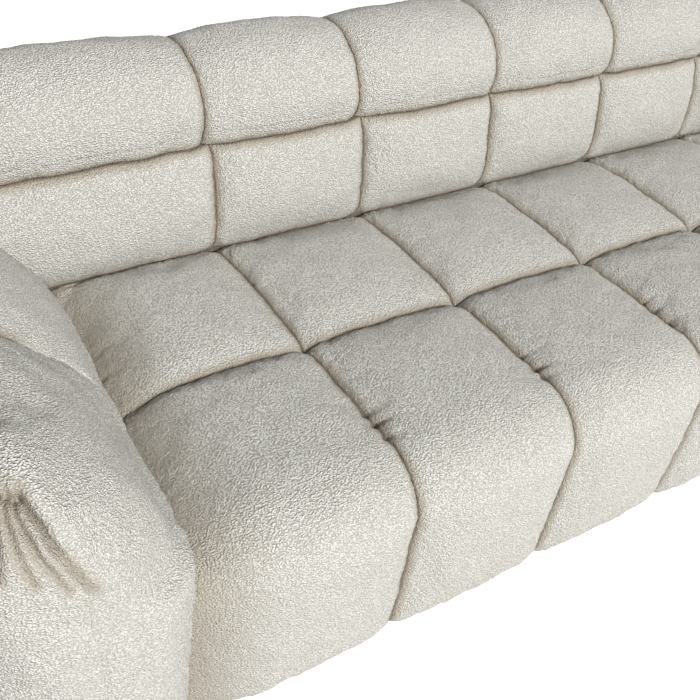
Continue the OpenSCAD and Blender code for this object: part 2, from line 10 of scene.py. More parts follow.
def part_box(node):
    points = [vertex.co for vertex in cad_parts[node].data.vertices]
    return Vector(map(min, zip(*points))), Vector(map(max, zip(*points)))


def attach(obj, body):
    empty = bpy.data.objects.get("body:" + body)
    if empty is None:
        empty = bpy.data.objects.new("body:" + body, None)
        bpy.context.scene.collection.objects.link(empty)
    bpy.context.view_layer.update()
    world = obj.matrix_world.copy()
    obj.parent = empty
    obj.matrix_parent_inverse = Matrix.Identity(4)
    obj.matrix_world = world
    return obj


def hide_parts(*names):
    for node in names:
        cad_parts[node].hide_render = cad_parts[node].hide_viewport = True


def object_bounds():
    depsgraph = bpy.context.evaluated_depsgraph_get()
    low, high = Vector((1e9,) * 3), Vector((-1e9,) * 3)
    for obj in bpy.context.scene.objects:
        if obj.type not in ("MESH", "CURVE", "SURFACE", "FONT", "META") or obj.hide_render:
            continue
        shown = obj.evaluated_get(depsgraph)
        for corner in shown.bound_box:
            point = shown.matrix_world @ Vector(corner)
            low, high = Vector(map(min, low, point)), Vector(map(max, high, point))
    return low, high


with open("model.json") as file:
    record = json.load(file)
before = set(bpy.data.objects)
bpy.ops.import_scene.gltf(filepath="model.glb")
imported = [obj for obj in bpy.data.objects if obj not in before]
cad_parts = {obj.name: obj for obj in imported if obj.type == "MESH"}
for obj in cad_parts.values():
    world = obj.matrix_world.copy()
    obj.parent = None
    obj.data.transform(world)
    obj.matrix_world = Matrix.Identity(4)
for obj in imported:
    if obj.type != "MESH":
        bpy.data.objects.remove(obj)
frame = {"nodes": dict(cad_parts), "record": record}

bl_info = {
    "name": "Tufted Sofa",
    "version": (1, 0, 0),
    "blender": (4, 5, 0),
    "location": "View3D > Sidebar > Sofa",
    "description": "Dresses a biscuit-tufted sofa frame in looped boucle",
    "category": "Object",
}

# The construction's own boxes, from which the covers take their places
SEAT_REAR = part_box("seat_rear_pads")
SEAT_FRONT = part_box("seat_front_pads")
BACK_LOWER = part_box("back_lower_pads")
BACK_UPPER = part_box("back_upper_pads")
REAR_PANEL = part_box("back_outer_panel")
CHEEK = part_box("left_back_end_panel")
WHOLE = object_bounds()
# The seat's left end, the depth of its middle seam, and the height of the covers' hem
SEAT_LEFT = SEAT_REAR[0][0]
ROW_Y = SEAT_REAR[0][1]
HEM_Z = SEAT_FRONT[0][2]


def metres(name, text, size):
    """A property for a size in metres."""
    return FloatProperty(name=name, description=text, default=size, unit="LENGTH")


def degrees(name, text, size):
    """A property for an angle, whose default is given in degrees."""
    return FloatProperty(name=name, description=text, default=math.radians(size),
                         subtype="ANGLE", unit="ROTATION")


class SofaSizes(bpy.types.PropertyGroup):
    """Sizes of the tufted covers, over the pits where the tufting is pulled in"""

    tuft_w: metres("Tuft width", "Width of one column of tufts", 0.300)
    pad_crown: metres("Crown", "Height of a pad over its corner pits", 0.042)
    seam_rise: metres("Seam rise", "Height of a seam's middle over the pits", 0.013)
    seat_h: metres("Seat height", "Height of the seat's pits", 0.372)
    rear_row_d: metres("Rear row", "Depth of the seat's rear row", 0.310)
    front_row_d: metres("Front row", "Depth of the seat's front row", 0.306)
    front_edge_r: metres("Front edge", "Radius of the seat's front edge", 0.066)
    lower_row_h: metres("Lower row", "Height of the back's lower row", 0.188)
    back_lean: degrees("Lean", "Lean of the back from upright", 9)
    back_t: metres("Back thickness", "Thickness of the back at the seat", 0.222)
    back_round_h: metres("Back rounding", "Height of the rounded top", 0.090)
    rear_crown: metres("Rear crown", "Crown of the pads behind the back", 0.020)
    upper_row_drop: metres("Rear drop", "Reach of the upper row behind", 0.068)
    end_tuft_w: metres("End tufts", "Width of the back's end tufts", 0.146)
    arm_w: metres("Arm width", "Width of an arm", 0.320)
    arm_h: metres("Arm height", "Height of an arm's crown", 0.640)
    foot_crown: metres("Foot crown", "Crown at the foot of the arm's inside", 0.016)
    end_spread: FloatProperty(name="End spread", default=0.165,
                              description="How fast the seat's end tufts widen towards the front")
    arm_seam_inset: metres("Arm seam", "Outside to the arm's top seam", 0.101)
    arm_round_share: FloatProperty(name="Arm rounding", default=0.54,
                                   description="Share of the arm's height that its outside rounds")
    outer_crown: metres("Outer crown", "Crown of the arm's outside", 0.024)
    outer_seam_drop: metres("Outer seam", "Arm's outer seam under the pits", 0.060)
    wadding_t: metres("Wadding", "Thickness of cover and wadding", 0.028)
    cell: metres("Cell", "Mean size of the cover's mesh cells", 0.006)


class SofaSewing(bpy.types.PropertyGroup):
    """How the covers are sewn, stuffed and puckered"""

    slack: FloatProperty(name="Slack", description="Share by which the cloth is cut larger",
                         default=0.012)
    start_puff: FloatProperty(name="Start", description="Share of the crown before stuffing",
                              default=0.72)
    pressure: FloatProperty(name="Pressure", description="Pressure of the stuffing", default=4.0)
    frames: IntProperty(name="Frames", description="Simulated frames", default=20)
    cap: metres("Cap", "How far a point may leave the pad's plain form", 0.006)
    pucker: metres("Pucker", "Depth of the puckers along a seam", 0.0013)
    pucker_l: metres("Pucker length", "Distance between puckers", 0.014)
    wander: metres("Wander", "How far a seam strays from its line", 0.0025)


class SofaStage(bpy.types.PropertyGroup):
    """The photograph's viewpoint and the studio's light"""

    camera_at: FloatVectorProperty(name="Camera", description="Place of the camera",
                                   default=(-1.266, -1.0587, 1.3362), size=3, unit="LENGTH")
    turn: degrees("Turn", "How far the view turns from straight on", 38.31)
    tilt: degrees("Tilt", "How far the view looks down", 39.10)
    roll: degrees("Roll", "How far the camera leans", 8.795)
    lens: FloatProperty(name="Lens", description="Focal length on a 36 mm sensor", default=49.95)
    key: FloatProperty(name="Key", description="Power of the front lamp", default=5150.0)
    fill: FloatProperty(name="Fill", description="Strength of the light from all round",
                        default=0.31)


# Edge kinds of a pad: how steeply the crown falls there, and the seam's share of its rise
SEWN = (0.5, 1.0)
CREASED = (1.0, -0.1)
# How square the crown is along short and long pads
SHORT = 2.6
LONG = 4.2
# Share of a tuft's stations that crowd towards its seams
CROWDING = 0.6
# The cloth of the covers as it is stuffed: steps a frame, and its mass and stiffness
CLOTH_STEPS = 4
COVER_CLOTH = {"mass": 0.3, "tension_stiffness": 15, "compression_stiffness": 8,
               "shear_stiffness": 5, "bending_stiffness": 1.0}
# Distance below which a station counts as lying on a seam
ON_SEAM = 1e-6
# Turns a point to the sofa's other side
MIRROR = np.array([-1, 1, 1])
# Shape of the arm's inside, between a straight slope (1) and an ellipse (2)
ARM_CURVE = 1.12
# Share of the arm's lining that follows its cover where the seat bulges over it
LINING_SHARE = 0.4
# Length over which the covers' small irregularities change
UNEVEN_L = 0.045
# Shift of the upper row's seams on the back against the lower row's
UPPER_SHIFT = -0.014
# Rings over the arm's rounded front end, and rings that close its front face
END_RINGS = 44
CLOSING_RINGS = 14
# Seed of the irregularities, so that every run gives the same cover
NOISE_SEED = 7
# Half width of the slit in which the front face's cloth is drawn together
SLIT = 0.0002
# Side of the studio floor, and the light that the camera sees on it besides the lamp's
FLOOR_W = 16.0
FLOOR_LIFT = 0.45
# Thickness of the cover where it lies flat against the seat
LINING_T = 0.001
# Steps round the top of a cheek, the size of its cells and its edges' round, and its room
# beside the back's cover
CHEEK_STEPS = 24
CHEEK_CELL = 0.005
CHEEK_ROUND = 0.008
CHEEK_ROOM = 0.002
# A distance at which nothing is changed by a seam
FAR_FROM_SEAM = 0.1
# Crown of the plain panel behind the back
PANEL_CROWN = 0.005
# Depth and width of the dimples where seams cross
PIT_DEPTH = 0.007
PIT_R = 0.016
# Length over which the arm's top seam fades out before its rounded front end
SEAM_FADE = 0.070
# Pleats gathered on the arm's front: how deep and how wide each groove is, and its route from
# the gather downwards, in distance from the seat and height over the floor
PLEATS = [
    (0.0100, 0.0042, [(0.222, 0.610), (0.219, 0.600), (0.219, 0.595), (0.212, 0.583),
                      (0.207, 0.568), (0.202, 0.554), (0.194, 0.537), (0.183, 0.509),
                      (0.166, 0.475)]),
    (0.0088, 0.0040, [(0.228, 0.606), (0.231, 0.596), (0.229, 0.583), (0.223, 0.566),
                      (0.2195, 0.553), (0.214, 0.538), (0.2015, 0.514), (0.193, 0.492)]),
    (0.0088, 0.0040, [(0.231, 0.6116), (0.238, 0.6035), (0.241, 0.593), (0.241, 0.579),
                      (0.239, 0.5645), (0.233, 0.540), (0.227, 0.514)]),
    (0.0080, 0.0040, [(0.240, 0.612), (0.249, 0.600), (0.253, 0.580), (0.255, 0.558),
                      (0.256, 0.530)]),
    (0.0070, 0.0040, [(0.248, 0.611), (0.262, 0.596), (0.270, 0.575), (0.276, 0.550),
                      (0.279, 0.520)]),
    (0.0060, 0.0120, [(0.216, 0.596), (0.204, 0.578), (0.196, 0.560), (0.186, 0.539),
                      (0.174, 0.512)]),
]
# Extra depth and width of the stitched dimple at the head of each pleat
STITCH_DEPTH = 0.0060
STITCH_R = 0.0045
# Share of a pleat's depth that is lost down its route, the share of the route where this begins,
# and the length over which pleats set in on the arm's rounded front
PLEAT_LOSS = 0.75
PLEAT_FULL = 0.4
PLEAT_EDGE = 0.02
# Short folds across the seat's seams: their place from front to rear, how deep they are and how
# they slant; how far they reach to the left and the right, their half width and their shift,
# which changes from seam to seam and from fold to fold
FOLDS = [(-0.300, 0.0075, 0.35), (-0.278, 0.0048, 0.15), (-0.319, 0.0046, 0.50),
         (-0.256, 0.0028, 0.10)]
FOLD_REACH = (0.007, 0.020)
FOLD_W = 0.0048
FOLD_SHIFT = 0.008
FOLD_CHANGE = (17, 90)
# How fast a fold's painted dark line of shade ends beside the seam, and how much paler a shallower
# fold's is
FOLD_LINE_END = 0.5
FOLD_PALE = 2
# Puckers beside a seam, in lengths of a pucker: waves a length, how far they reach, and how near
# the seam they set in
PUCKER_WAVES = 1.5
PUCKER_REACH = 0.6
PUCKER_START = 0.2
# Stretches where the cloth is pinched: how much deeper puckers are there, the drift between which
# a stretch turns into one, and what share of that depth is added to their reach
PINCH = 1.3
PINCHED = (0.25, 0.5)
PINCH_SHARE = 3
# Size and height of the loops that roughen the covers' outline
LOOP_L = 0.0045
LOOP_H = 0.0010
# How far the seat's lining is tucked in at its ends, and over which width
TUCK = 0.045
TUCK_W = 0.030
# How far the front tufts run in under the arms' covers, and over which length that grows
OVERLAP = 0.012
OVERLAP_L = 0.20
# How deep the seat's ends sink beside the arms, and over which width
END_SINK = 0.023
END_SINK_L = 0.065
# Width of the seat's ends that the arms' covers hide, and how far from a seam they count there,
# at their edge and for each metre from it, so that the seams' painted shade falls in the crevice
# beside the arms
END_HIDDEN = 0.016
END_GAP = 0.0034
END_SHADE = 0.12
# How much further the seat's end tufts reach over the arms beside the middle seam, how far behind
# it this begins, and between which distances ahead of it this ends
MORE_SPREAD = 0.018
MORE_L = 0.15
MORE_END = (0.04, 0.28)
# Share of the arm's foot that follows the seat's end tufts, and the height above it that
# follows them wholly
FOOT_SHARE = 0.42
FOOT_H = 0.03
# How much of the seam across the arm is lost near the seat, how far along the arm that shows, and
# the shares of the arm's inside between which the seam comes back
FOLD_LOSS = 0.75
FOLD_L = 0.09
FOLD_BACK = (0.20, 0.62)
# Shares of a row between which its crown changes: the back's upper row, the arm's inside and top,
# and the section over the arm's front end
UPPER_TURN = (0.45, 0.7)
INSIDE_TURN = (0.1, 0.55)
TOP_TURN = (0, 0.5)
END_TURN = (0.55, 0.75)
# Shares of the arm's inside between which it begins to count as the arm's top, and the share of
# the fading top seam that has no seam shade
TOP_START = (0.3, 0.9)
FADED = 0.6
# Shares of each row at which the arm's lining has a row of its own, from the outside inwards
LINING_SPOTS = (0.9, 0.5, 0.1)
# Share of a curve over which its direction is taken, the least length that a direction is divided
# by, the least number of cells across a tuft, room for rounding, and the distance within which
# vertices are welded
CURVE_STEP = 1e-3
LEAST_WAY = 0.0002
LEAST_CELLS = 6
ROUNDING = 1e-9
WELD = 1e-5
# Boucle: distance between loops, how much a loop is drawn out along each axis, how far the loops
# stray and over which length, size of the fuzz, and depth of the relief
LOOP_SPACING = 0.0024
LOOP_DRAW = (0.75, 1.0, 1.15)
LOOP_STRAY = 0.0018
LOOP_STRAY_L = 0.007
FUZZ_L = 0.0026
RELIEF = 0.0031
# Distance from a loop's top at which its side ends, as a share of the distance between loops
LOOP_SIDE = 0.85
# Painted shade along a seam, soft and wide, and a painted dark line of shade in its groove: how far
# each reaches from it, and its strength there
SEAM_SHADE = (0.016, 0.72)
SEAM_LINE = (0.0032, 0.85)
# How many times longer than wide the grain of wood is, and the depth of its pores
GRAIN_DRAW = 18
PORE_DEPTH = 0.0006
# Distance between the ribs of the webbing and their depth, and length of the marks on steel
RIB_W = 0.0025
RIB_DEPTH = 0.0005
MARK_L = 0.004
# Place of the studio lamp, the place it shines at, and its width and height
LAMP_AT = (0.8, -16.0, 10.0)
LAMP_TO = (0, 0, 0.4)
LAMP_SIZE = (5.6, 3.8)
# Width of the camera's sensor in millimetres
SENSOR_MM = 36


def sizes():
    return bpy.context.scene.sofa_sizes


def sewing():
    return bpy.context.scene.sofa_sewing


def smooth(x, start, end):
    """Eased share of the way from start to end."""
    s = np.clip((x - start) / (end - start), 0, 1)
    return s * s * (3 - 2 * s)


def pushed(curve, s, out):
    """Points of a section curve at shares s, pushed out along its normal."""
    ahead = np.stack(curve(np.minimum(1, s + CURVE_STEP)), -1)
    behind = np.stack(curve(np.maximum(0, s - CURVE_STEP)), -1)
    way = (ahead - behind) / np.linalg.norm(ahead - behind, axis=-1, keepdims=True)
    return np.stack(curve(s), -1) + out[..., None] * np.stack((-way[..., 1], way[..., 0]), -1)


def edge_crown(s, power, first, last):
    """Share of the crown at s between two edges of these kinds."""
    return (1 - np.abs(1 - 2 * s) ** power) ** np.where(s < 0.5, first[0], last[0])


def pad_rise(s, t, row, column, crown, seam_rise):
    """Rise of the cover over the pits, at shares s and t of a pad. row and column are
    (power, first edge, last edge)."""
    p = edge_crown(s, *row)
    q = edge_crown(t, *column)
    low = np.minimum(seam_rise, crown)
    across = q * (1 - p) * np.where(s < 0.5, row[1][1], row[2][1])
    along = p * (1 - q) * np.where(t < 0.5, column[1][1], column[2][1])
    return low * (across + along + p * q) + (crown - low) * p * q


def stations(lengths, cell):
    """(tuft, share) of every line of stitches and cells along tufts of these lengths."""
    found = []
    for i, length in enumerate(lengths):
        count = max(LEAST_CELLS, round(length / cell))
        plain = np.linspace(0, 1, count + 1)
        shares = (1 - CROWDING) * plain + CROWDING * (0.5 - 0.5 * np.cos(np.pi * plain))
        found += [(i, s) for s in (shares if i == 0 else shares[1:])]
    return np.array([f[0] for f in found]), np.array([f[1] for f in found])


class Row:
    """One row of tufts: a section curve, its length, its kind and its crown along the curve"""

    def __init__(self, curve, length, kind, crown):
        self.curve = curve
        self.length = length
        self.kind = kind
        self.crown = crown


class Quilt:
    """A cover of tufts in columns and rows. ends are the columns' limits, kinds their edges"""

    def __init__(self, ends, kinds, rows, seam_rise=None, pit=PIT_DEPTH):
        z = sizes()
        self.pit = pit
        self.rows = rows
        self.seam_rise = z.seam_rise if seam_rise is None else seam_rise
        self.kinds = kinds
        self.ends = ends
        self.column, self.t = stations(np.diff(ends), z.cell)
        self.row, self.s = stations([r.length for r in rows], z.cell)
        starts = np.array(ends)[self.column]
        self.across = starts + np.diff(ends)[self.column] * self.t

    def sections(self, puff=1.0):
        """The cover's section at every station: an array across x along x 2."""
        found = np.zeros((len(self.t), len(self.s), 2))
        for r, row in enumerate(self.rows):
            at = self.row == r
            s = self.s[at]
            for c, kind in enumerate(self.kinds):
                on = self.column == c
                t = self.t[on][:, None]
                rise = pad_rise(s[None, :], t, row.kind, kind, row.crown(s)[None, :] * puff,
                                self.seam_rise)
                beside = (self.ends[c + 1] - self.ends[c]) * np.minimum(t, 1 - t)
                over = row.length * np.minimum(s, 1 - s)[None, :]
                rise -= self.pit * np.exp(-(beside ** 2 + over ** 2) / PIT_R ** 2)
                shares = np.broadcast_to(s[None, :], rise.shape)
                found[np.ix_(on, at)] = pushed(row.curve, shares, rise)
        return found

    def run(self):
        """How far along the section every station lies, and how long the section is."""
        lengths = np.array([r.length for r in self.rows])
        return (np.cumsum(lengths) - lengths)[self.row] + lengths[self.row] * self.s, lengths.sum()

    def seam_gap(self):
        """Distance of every station from the nearest seam."""
        wide = np.diff(self.ends)[self.column]
        long = np.array([r.length for r in self.rows])[self.row]
        beside = np.abs(wide) * np.minimum(self.t, 1 - self.t)
        over = long * np.minimum(self.s, 1 - self.s)
        return np.minimum(beside[:, None], over[None, :])


def even(crown):
    """The same crown all along a row."""
    return lambda s: np.full_like(s, crown)


def turning(start, end, s_start, s_end):
    """A crown that goes from start to end between two shares of a row."""
    return lambda s: start + (end - start) * np.clip((s - s_start) / (s_end - s_start), 0, 1)


def seat_rear_curve(s):
    z = sizes()
    return ROW_Y + z.rear_row_d * s, np.full_like(s, z.seat_h)


def front_lengths():
    """Flat, round and upright stretches of the front row, from the middle seam down."""
    z = sizes()
    return (z.front_row_d - z.front_edge_r, z.front_edge_r * np.pi / 2,
            z.seat_h - z.front_edge_r - HEM_Z)


def round_y():
    """Depth at which the seat's front row begins to turn down."""
    return ROW_Y - front_lengths()[0]


def seat_front_curve(s):
    z = sizes()
    flat, arc, drop = front_lengths()
    d = (1 - s) * (flat + arc + drop)
    a = np.clip((d - flat) / arc, 0, 1) * np.pi / 2
    return (ROW_Y - np.minimum(d, flat) - z.front_edge_r * np.sin(a),
            z.seat_h - z.front_edge_r * (1 - np.cos(a)) - np.maximum(0, d - flat - arc))


def back_face_y(height):
    z = sizes()
    return ROW_Y + z.rear_row_d + (height - z.seat_h) * math.tan(z.back_lean)


def back_lower_curve(s):
    z = sizes()
    height = z.seat_h + z.lower_row_h * s
    return back_face_y(height), height


def upper_lengths():
    """Straight, round and rear stretches of the back's upper row, with the round's half width."""
    z = sizes()
    start = WHOLE[1][2] - z.pad_crown - z.back_round_h
    half = (ROW_Y + z.rear_row_d + z.back_t - back_face_y(start)) / 2
    return (start - z.seat_h - z.lower_row_h, np.pi * (half + z.back_round_h) / 2,
            z.upper_row_drop, half, start)


def back_upper_curve(s):
    z = sizes()
    straight, arc, drop, half, start = upper_lengths()
    d = s * (straight + arc + drop)
    a = np.clip((d - straight) / arc, 0, 1) * np.pi
    below = np.maximum(0, straight - d)
    return (back_face_y(start) + half * (1 - np.cos(a)) - below * math.tan(z.back_lean),
            start + z.back_round_h * np.sin(a) - below - np.maximum(0, d - straight - arc))


def spread(y):
    """How far the seat's end tufts bulge over the arms at a depth."""
    ahead = ROW_Y - y
    more = MORE_SPREAD * smooth(ahead, -MORE_L, 0) * (1 - smooth(ahead, *MORE_END))
    return sizes().end_spread * np.maximum(0, ahead) + more


def arm_seam():
    """Distance from the seat to the arm's top seam, and its height over the seat's pits."""
    z = sizes()
    return z.arm_w - z.arm_seam_inset, z.arm_h - z.pad_crown - z.seat_h


def arm_inner_curve(s):
    z = sizes()
    seam_x, seam_z = arm_seam()
    bend = 2 / ARM_CURVE
    return (seam_x * (1 - np.cos(s * np.pi / 2) ** bend),
            z.seat_h + seam_z * np.sin(s * np.pi / 2) ** bend)


def arm_top_lengths():
    """Round and upright stretches outside the arm's top seam, with the round's sides."""
    z = sizes()
    seam_x, seam_z = arm_seam()
    wide = z.arm_w - z.outer_crown - seam_x
    high = seam_z * z.arm_round_share
    return np.pi * (wide + high) / 4, seam_z - high + z.outer_seam_drop, wide, high


def arm_top_curve(s):
    z = sizes()
    arc, drop, wide, high = arm_top_lengths()
    seam_x, seam_z = arm_seam()
    d = s * (arc + drop)
    a = np.minimum(1, d / arc) * np.pi / 2
    return (seam_x + wide * np.sin(a),
            z.seat_h + seam_z - high * (1 - np.cos(a)) - np.maximum(0, d - arc))


def arm_side_curve(s):
    z = sizes()
    top = z.seat_h - z.outer_seam_drop
    return np.full_like(s, z.arm_w - z.outer_crown), top - s * (top - HEM_Z)


def grid(name, columns, rows):
    """A plain grid with that many stations, and the station of each of its vertices."""
    bpy.ops.object.select_all(action="DESELECT")
    bpy.ops.mesh.primitive_grid_add(x_subdivisions=columns - 1, y_subdivisions=rows - 1, size=2)
    piece = bpy.context.object
    piece.name = name
    piece.data.name = name
    co = vertices(piece)
    return (piece, np.rint((co[:, 0] + 1) / 2 * (columns - 1)).astype(int),
            np.rint((co[:, 1] + 1) / 2 * (rows - 1)).astype(int))


def vertices(piece, what="co"):
    """The places of a piece's vertices, or their normals, one a row."""
    found = np.empty(len(piece.data.vertices) * 3)
    piece.data.vertices.foreach_get(what, found)
    return found.reshape(-1, 3)


def move_to(piece, points):
    """Puts a piece's vertices at these points."""
    piece.data.vertices.foreach_set("co", np.ascontiguousarray(points, dtype=np.float64).ravel())
    piece.data.update()


def simulate(piece, **settings):
    """Lets pressure from inside stuff a piece of cloth, and gives the places of its vertices."""
    w = sewing()
    cloth = piece.modifiers.new("stuffing", "CLOTH")
    cloth.settings.quality = CLOTH_STEPS
    for key, value in settings.items():
        setattr(cloth.settings, key, value)
    cloth.settings.use_pressure = True
    cloth.settings.uniform_pressure_force = w.pressure
    cloth.settings.effector_weights.gravity = 0
    cloth.collision_settings.use_collision = False
    cloth.point_cache.frame_start = 1
    cloth.point_cache.frame_end = w.frames
    for f in range(1, w.frames + 1):
        bpy.context.scene.frame_set(f)
    bpy.context.view_layer.objects.active = piece
    bpy.ops.object.modifier_apply(modifier=cloth.name)
    bpy.context.scene.frame_set(1)
    return vertices(piece)


def held_back(plain, moved):
    """Points that have moved this far from a plain form, none of them further than the cap."""
    cap = sewing().cap
    far = np.linalg.norm(moved, axis=-1, keepdims=True)
    return plain + moved * cap / np.sqrt(cap ** 2 + far ** 2)


def stuffed(points, on_seam):
    """The skin after it is stuffed: cloth cut with slack, held at the seams, under pressure."""
    piece, i, j = grid("stuffing", points.shape[0], points.shape[1])
    move_to(piece, points[i, j])
    held = piece.vertex_groups.new(name="seams")
    held.add([int(k) for k in np.flatnonzero(on_seam[i, j])], 1.0, "REPLACE")
    found = np.empty_like(points)
    found[i, j] = simulate(piece, **COVER_CLOTH, vertex_group_mass="seams",
                           shrink_min=-sewing().slack)
    bpy.data.objects.remove(piece)
    return found


def stuff(quilt, place):
    plain = place(quilt.across, quilt.sections())
    on_seam = quilt.seam_gap() < ON_SEAM
    on_seam[[0, -1], :] = True
    on_seam[:, [0, -1]] = True
    start = place(quilt.across, quilt.sections(sewing().start_puff))
    return held_back(plain, stuffed(start, on_seam) - plain)


def mirrored(skin):
    """The skin of both halves, from the left one whose last stations lie on the middle seam."""
    return np.concatenate([skin, skin[-2::-1] * MIRROR])


def uneven(points, normals, gap):
    """Small irregularities of a hand-sewn cover: wandering seams, puckers beside them, stronger
    where the cloth is pinched, and the loops' roughness."""
    w = sewing()
    noise.seed_set(NOISE_SEED)
    places = [Vector(p) for p in points]
    drift = np.array([noise.noise_vector(p / UNEVEN_L) for p in places])
    ripple = np.array([noise.noise(p * PUCKER_WAVES / w.pucker_l) for p in places])
    loops = np.array([noise.noise(p / LOOP_L) for p in places])
    pinch = PINCH * smooth(drift[:, 2], *PINCHED)
    beside = np.exp(-gap / (w.pucker_l * (PUCKER_REACH + pinch / PINCH_SHARE)))
    beside *= smooth(gap, 0, w.pucker_l * PUCKER_START)
    out = ripple * beside * w.pucker * (1 + pinch) + loops * LOOP_H
    return points + drift * w.wander + normals * out[:, None]


def pleats(points):
    """How deep the pleats on an arm's front sink its cover, and the distance from a narrow pleat's
    groove, along which shade is painted as along a seam.
    """
    x = np.abs(points[:, 0]) - abs(SEAT_LEFT)
    place = np.stack([x, points[:, 2]], -1)
    found = np.zeros(len(points))
    groove = np.full(len(points), FAR_FROM_SEAM)
    for depth, width, route in PLEATS:
        route = np.array(route)
        nearest = np.full(len(points), FAR_FROM_SEAM)
        along = np.zeros(len(points))
        for k in range(len(route) - 1):
            way = route[k + 1] - route[k]
            share = np.clip((place - route[k]) @ way / (way @ way), 0, 1)
            gap = np.linalg.norm(place - route[k] - share[:, None] * way, axis=1)
            closer = gap < nearest
            nearest[closer] = gap[closer]
            along[closer] = (k + share[closer]) / (len(route) - 1)
        kept = 1 - PLEAT_LOSS * smooth(along, PLEAT_FULL, 1)
        found += depth * np.exp(-(nearest / width) ** 2) * kept
        if width <= STITCH_R:
            head = np.linalg.norm(place - route[0], axis=1)
            found += STITCH_DEPTH * np.exp(-(head / STITCH_R) ** 2)
            # Painted shade along the groove, paler further down its route
            groove = np.minimum(groove, nearest + along * width / 2)
    on = smooth(round_y() - PLEAT_EDGE - points[:, 1], 0, PLEAT_EDGE)
    return found * on, np.where(on > 0.5, groove, FAR_FROM_SEAM)


def pinches(points):
    """The same for the short folds beside the seat's seams, where they turn over the front."""
    wide = sizes().tuft_w
    seam = wide * np.round(points[:, 0] / wide)
    beside = points[:, 0] - seam
    reach = np.where(beside > 0, FOLD_REACH[1], FOLD_REACH[0])
    found = np.zeros(len(points))
    groove = np.full(len(points), FAR_FROM_SEAM)
    for y, depth, slant in FOLDS:
        shift = FOLD_SHIFT * np.sin(seam * FOLD_CHANGE[0] + y * FOLD_CHANGE[1])
        off = points[:, 1] - y - shift + slant * np.abs(beside)
        found += depth * np.exp(-(off / FOLD_W) ** 2 - np.abs(beside) / reach)
        # Painted shade along each fold's groove, paler for shallower folds
        line = np.hypot(off, beside * FOLD_LINE_END) + FOLD_PALE * (FOLDS[0][1] - depth)
        groove = np.minimum(groove, line)
    on = (points[:, 2] > sizes().seat_h - FOLD_W) & (np.abs(seam) < abs(SEAT_LEFT) - FOLD_W)
    return found * on, np.where(on, groove, FAR_FROM_SEAM)


def refined(values, axis, bent=1 / 16):
    """Values with a point between every two along an axis: on a cubic, or straight if bent is 0."""
    v = np.moveaxis(values, axis, 0)
    around = np.concatenate([[2 * v[0] - v[1]], v, [2 * v[-1] - v[-2]]])
    found = np.empty((2 * len(v) - 1,) + v.shape[1:])
    found[::2] = v
    found[1::2] = (0.5 + bent) * (v[:-1] + v[1:]) - bent * (around[:-3] + around[3:])
    return np.moveaxis(found, 0, axis)


def cover(name, skin, gap, lining, fine=True):
    """Closed cover: its skin, the lining's rows that close it behind, and its filled ends."""
    if fine:
        skin = refined(refined(skin, 0), 1)
        gap = refined(refined(gap, 0, 0), 1, 0)
        lining = [refined(row, 0) for row in lining]
    rows = [row[:, None, :] for row in lining]
    rows = np.concatenate([skin] + rows + [skin[:, :1]], axis=1)
    piece, i, j = grid(name, rows.shape[0], rows.shape[1])
    move_to(piece, rows[i, j])
    gaps = np.zeros(rows.shape[:2])
    gaps[:, :gap.shape[1]] = gap
    depth = piece.data.attributes.new("seam_gap", "FLOAT", "POINT")
    depth.data.foreach_set("value", gaps[i, j])
    bpy.ops.object.mode_set(mode="EDIT")
    bpy.ops.mesh.select_mode(type="VERT")
    bpy.ops.mesh.select_all(action="SELECT")
    bpy.ops.mesh.remove_doubles(threshold=WELD)
    bpy.ops.mesh.select_all(action="SELECT")
    bpy.ops.mesh.fill_holes(sides=0)
    bpy.ops.mesh.select_all(action="SELECT")
    bpy.ops.mesh.normals_make_consistent(inside=False)
    bpy.ops.object.mode_set(mode="OBJECT")
    return piece


def finish_cover(piece, node, sunk=None):
    gap = np.empty(len(piece.data.vertices))
    piece.data.attributes["seam_gap"].data.foreach_get("value", gap)
    points = vertices(piece)
    normals = vertices(piece, "normal")
    moved = uneven(points, normals, gap)
    if sunk is not None:
        depth, groove = sunk(points)
        moved -= normals * depth[:, None]
        # The grooves of pleats and folds take painted shade, as the seams do
        gap = np.minimum(gap, groove)
        piece.data.attributes["seam_gap"].data.foreach_set("value", gap)
    move_to(piece, moved)
    bpy.ops.object.select_all(action="DESELECT")
    piece.select_set(True)
    bpy.ops.object.shade_smooth()
    dress(piece, "boucle")
    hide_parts(node)
    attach(piece, "root")


def along_x(across, section):
    """Points of a cover whose columns run along the sofa."""
    out = np.broadcast_to(across[:, None, None], section.shape[:2] + (1,))
    return np.concatenate([out, section], axis=-1)


def along_seat(across, section):
    """The same for the seat, whose end tufts widen towards the front."""
    found = along_x(across, section)
    near = np.clip(1 - (across - SEAT_LEFT) / sizes().tuft_w, 0, 1) ** 2
    over = OVERLAP * smooth(ROW_Y - found[..., 1], 0, OVERLAP_L)
    found[..., 0] -= near[:, None] * (spread(found[..., 1]) + over)
    z = sizes()
    round_z = z.seat_h - z.front_edge_r
    out = np.stack([np.minimum(section[..., 0] - round_y(), 0),
                    np.maximum(section[..., 1] - round_z, 0)], -1)
    out /= np.maximum(np.linalg.norm(out, axis=-1), LEAST_WAY)[..., None]
    sunk = END_SINK * np.exp(-((across - SEAT_LEFT) / END_SINK_L) ** 2)
    rear = ROW_Y + z.rear_row_d
    level = 1 - smooth(section[..., 0], rear - 2 * END_SINK_L, rear)
    found[..., 1:] -= out * (sunk[:, None] * level)[..., None]
    return found


def seat_columns():
    """Limits and edge kinds of the seat's columns, from the left arm to the middle seam."""
    z = sizes()
    left = SEAT_LEFT
    count = round(-left / z.tuft_w)
    ends = [left + i * z.tuft_w for i in range(count)] + [0.0]
    return ends, [(SHORT, CREASED, SEWN)] + [(SHORT, SEWN, SEWN)] * (count - 1)


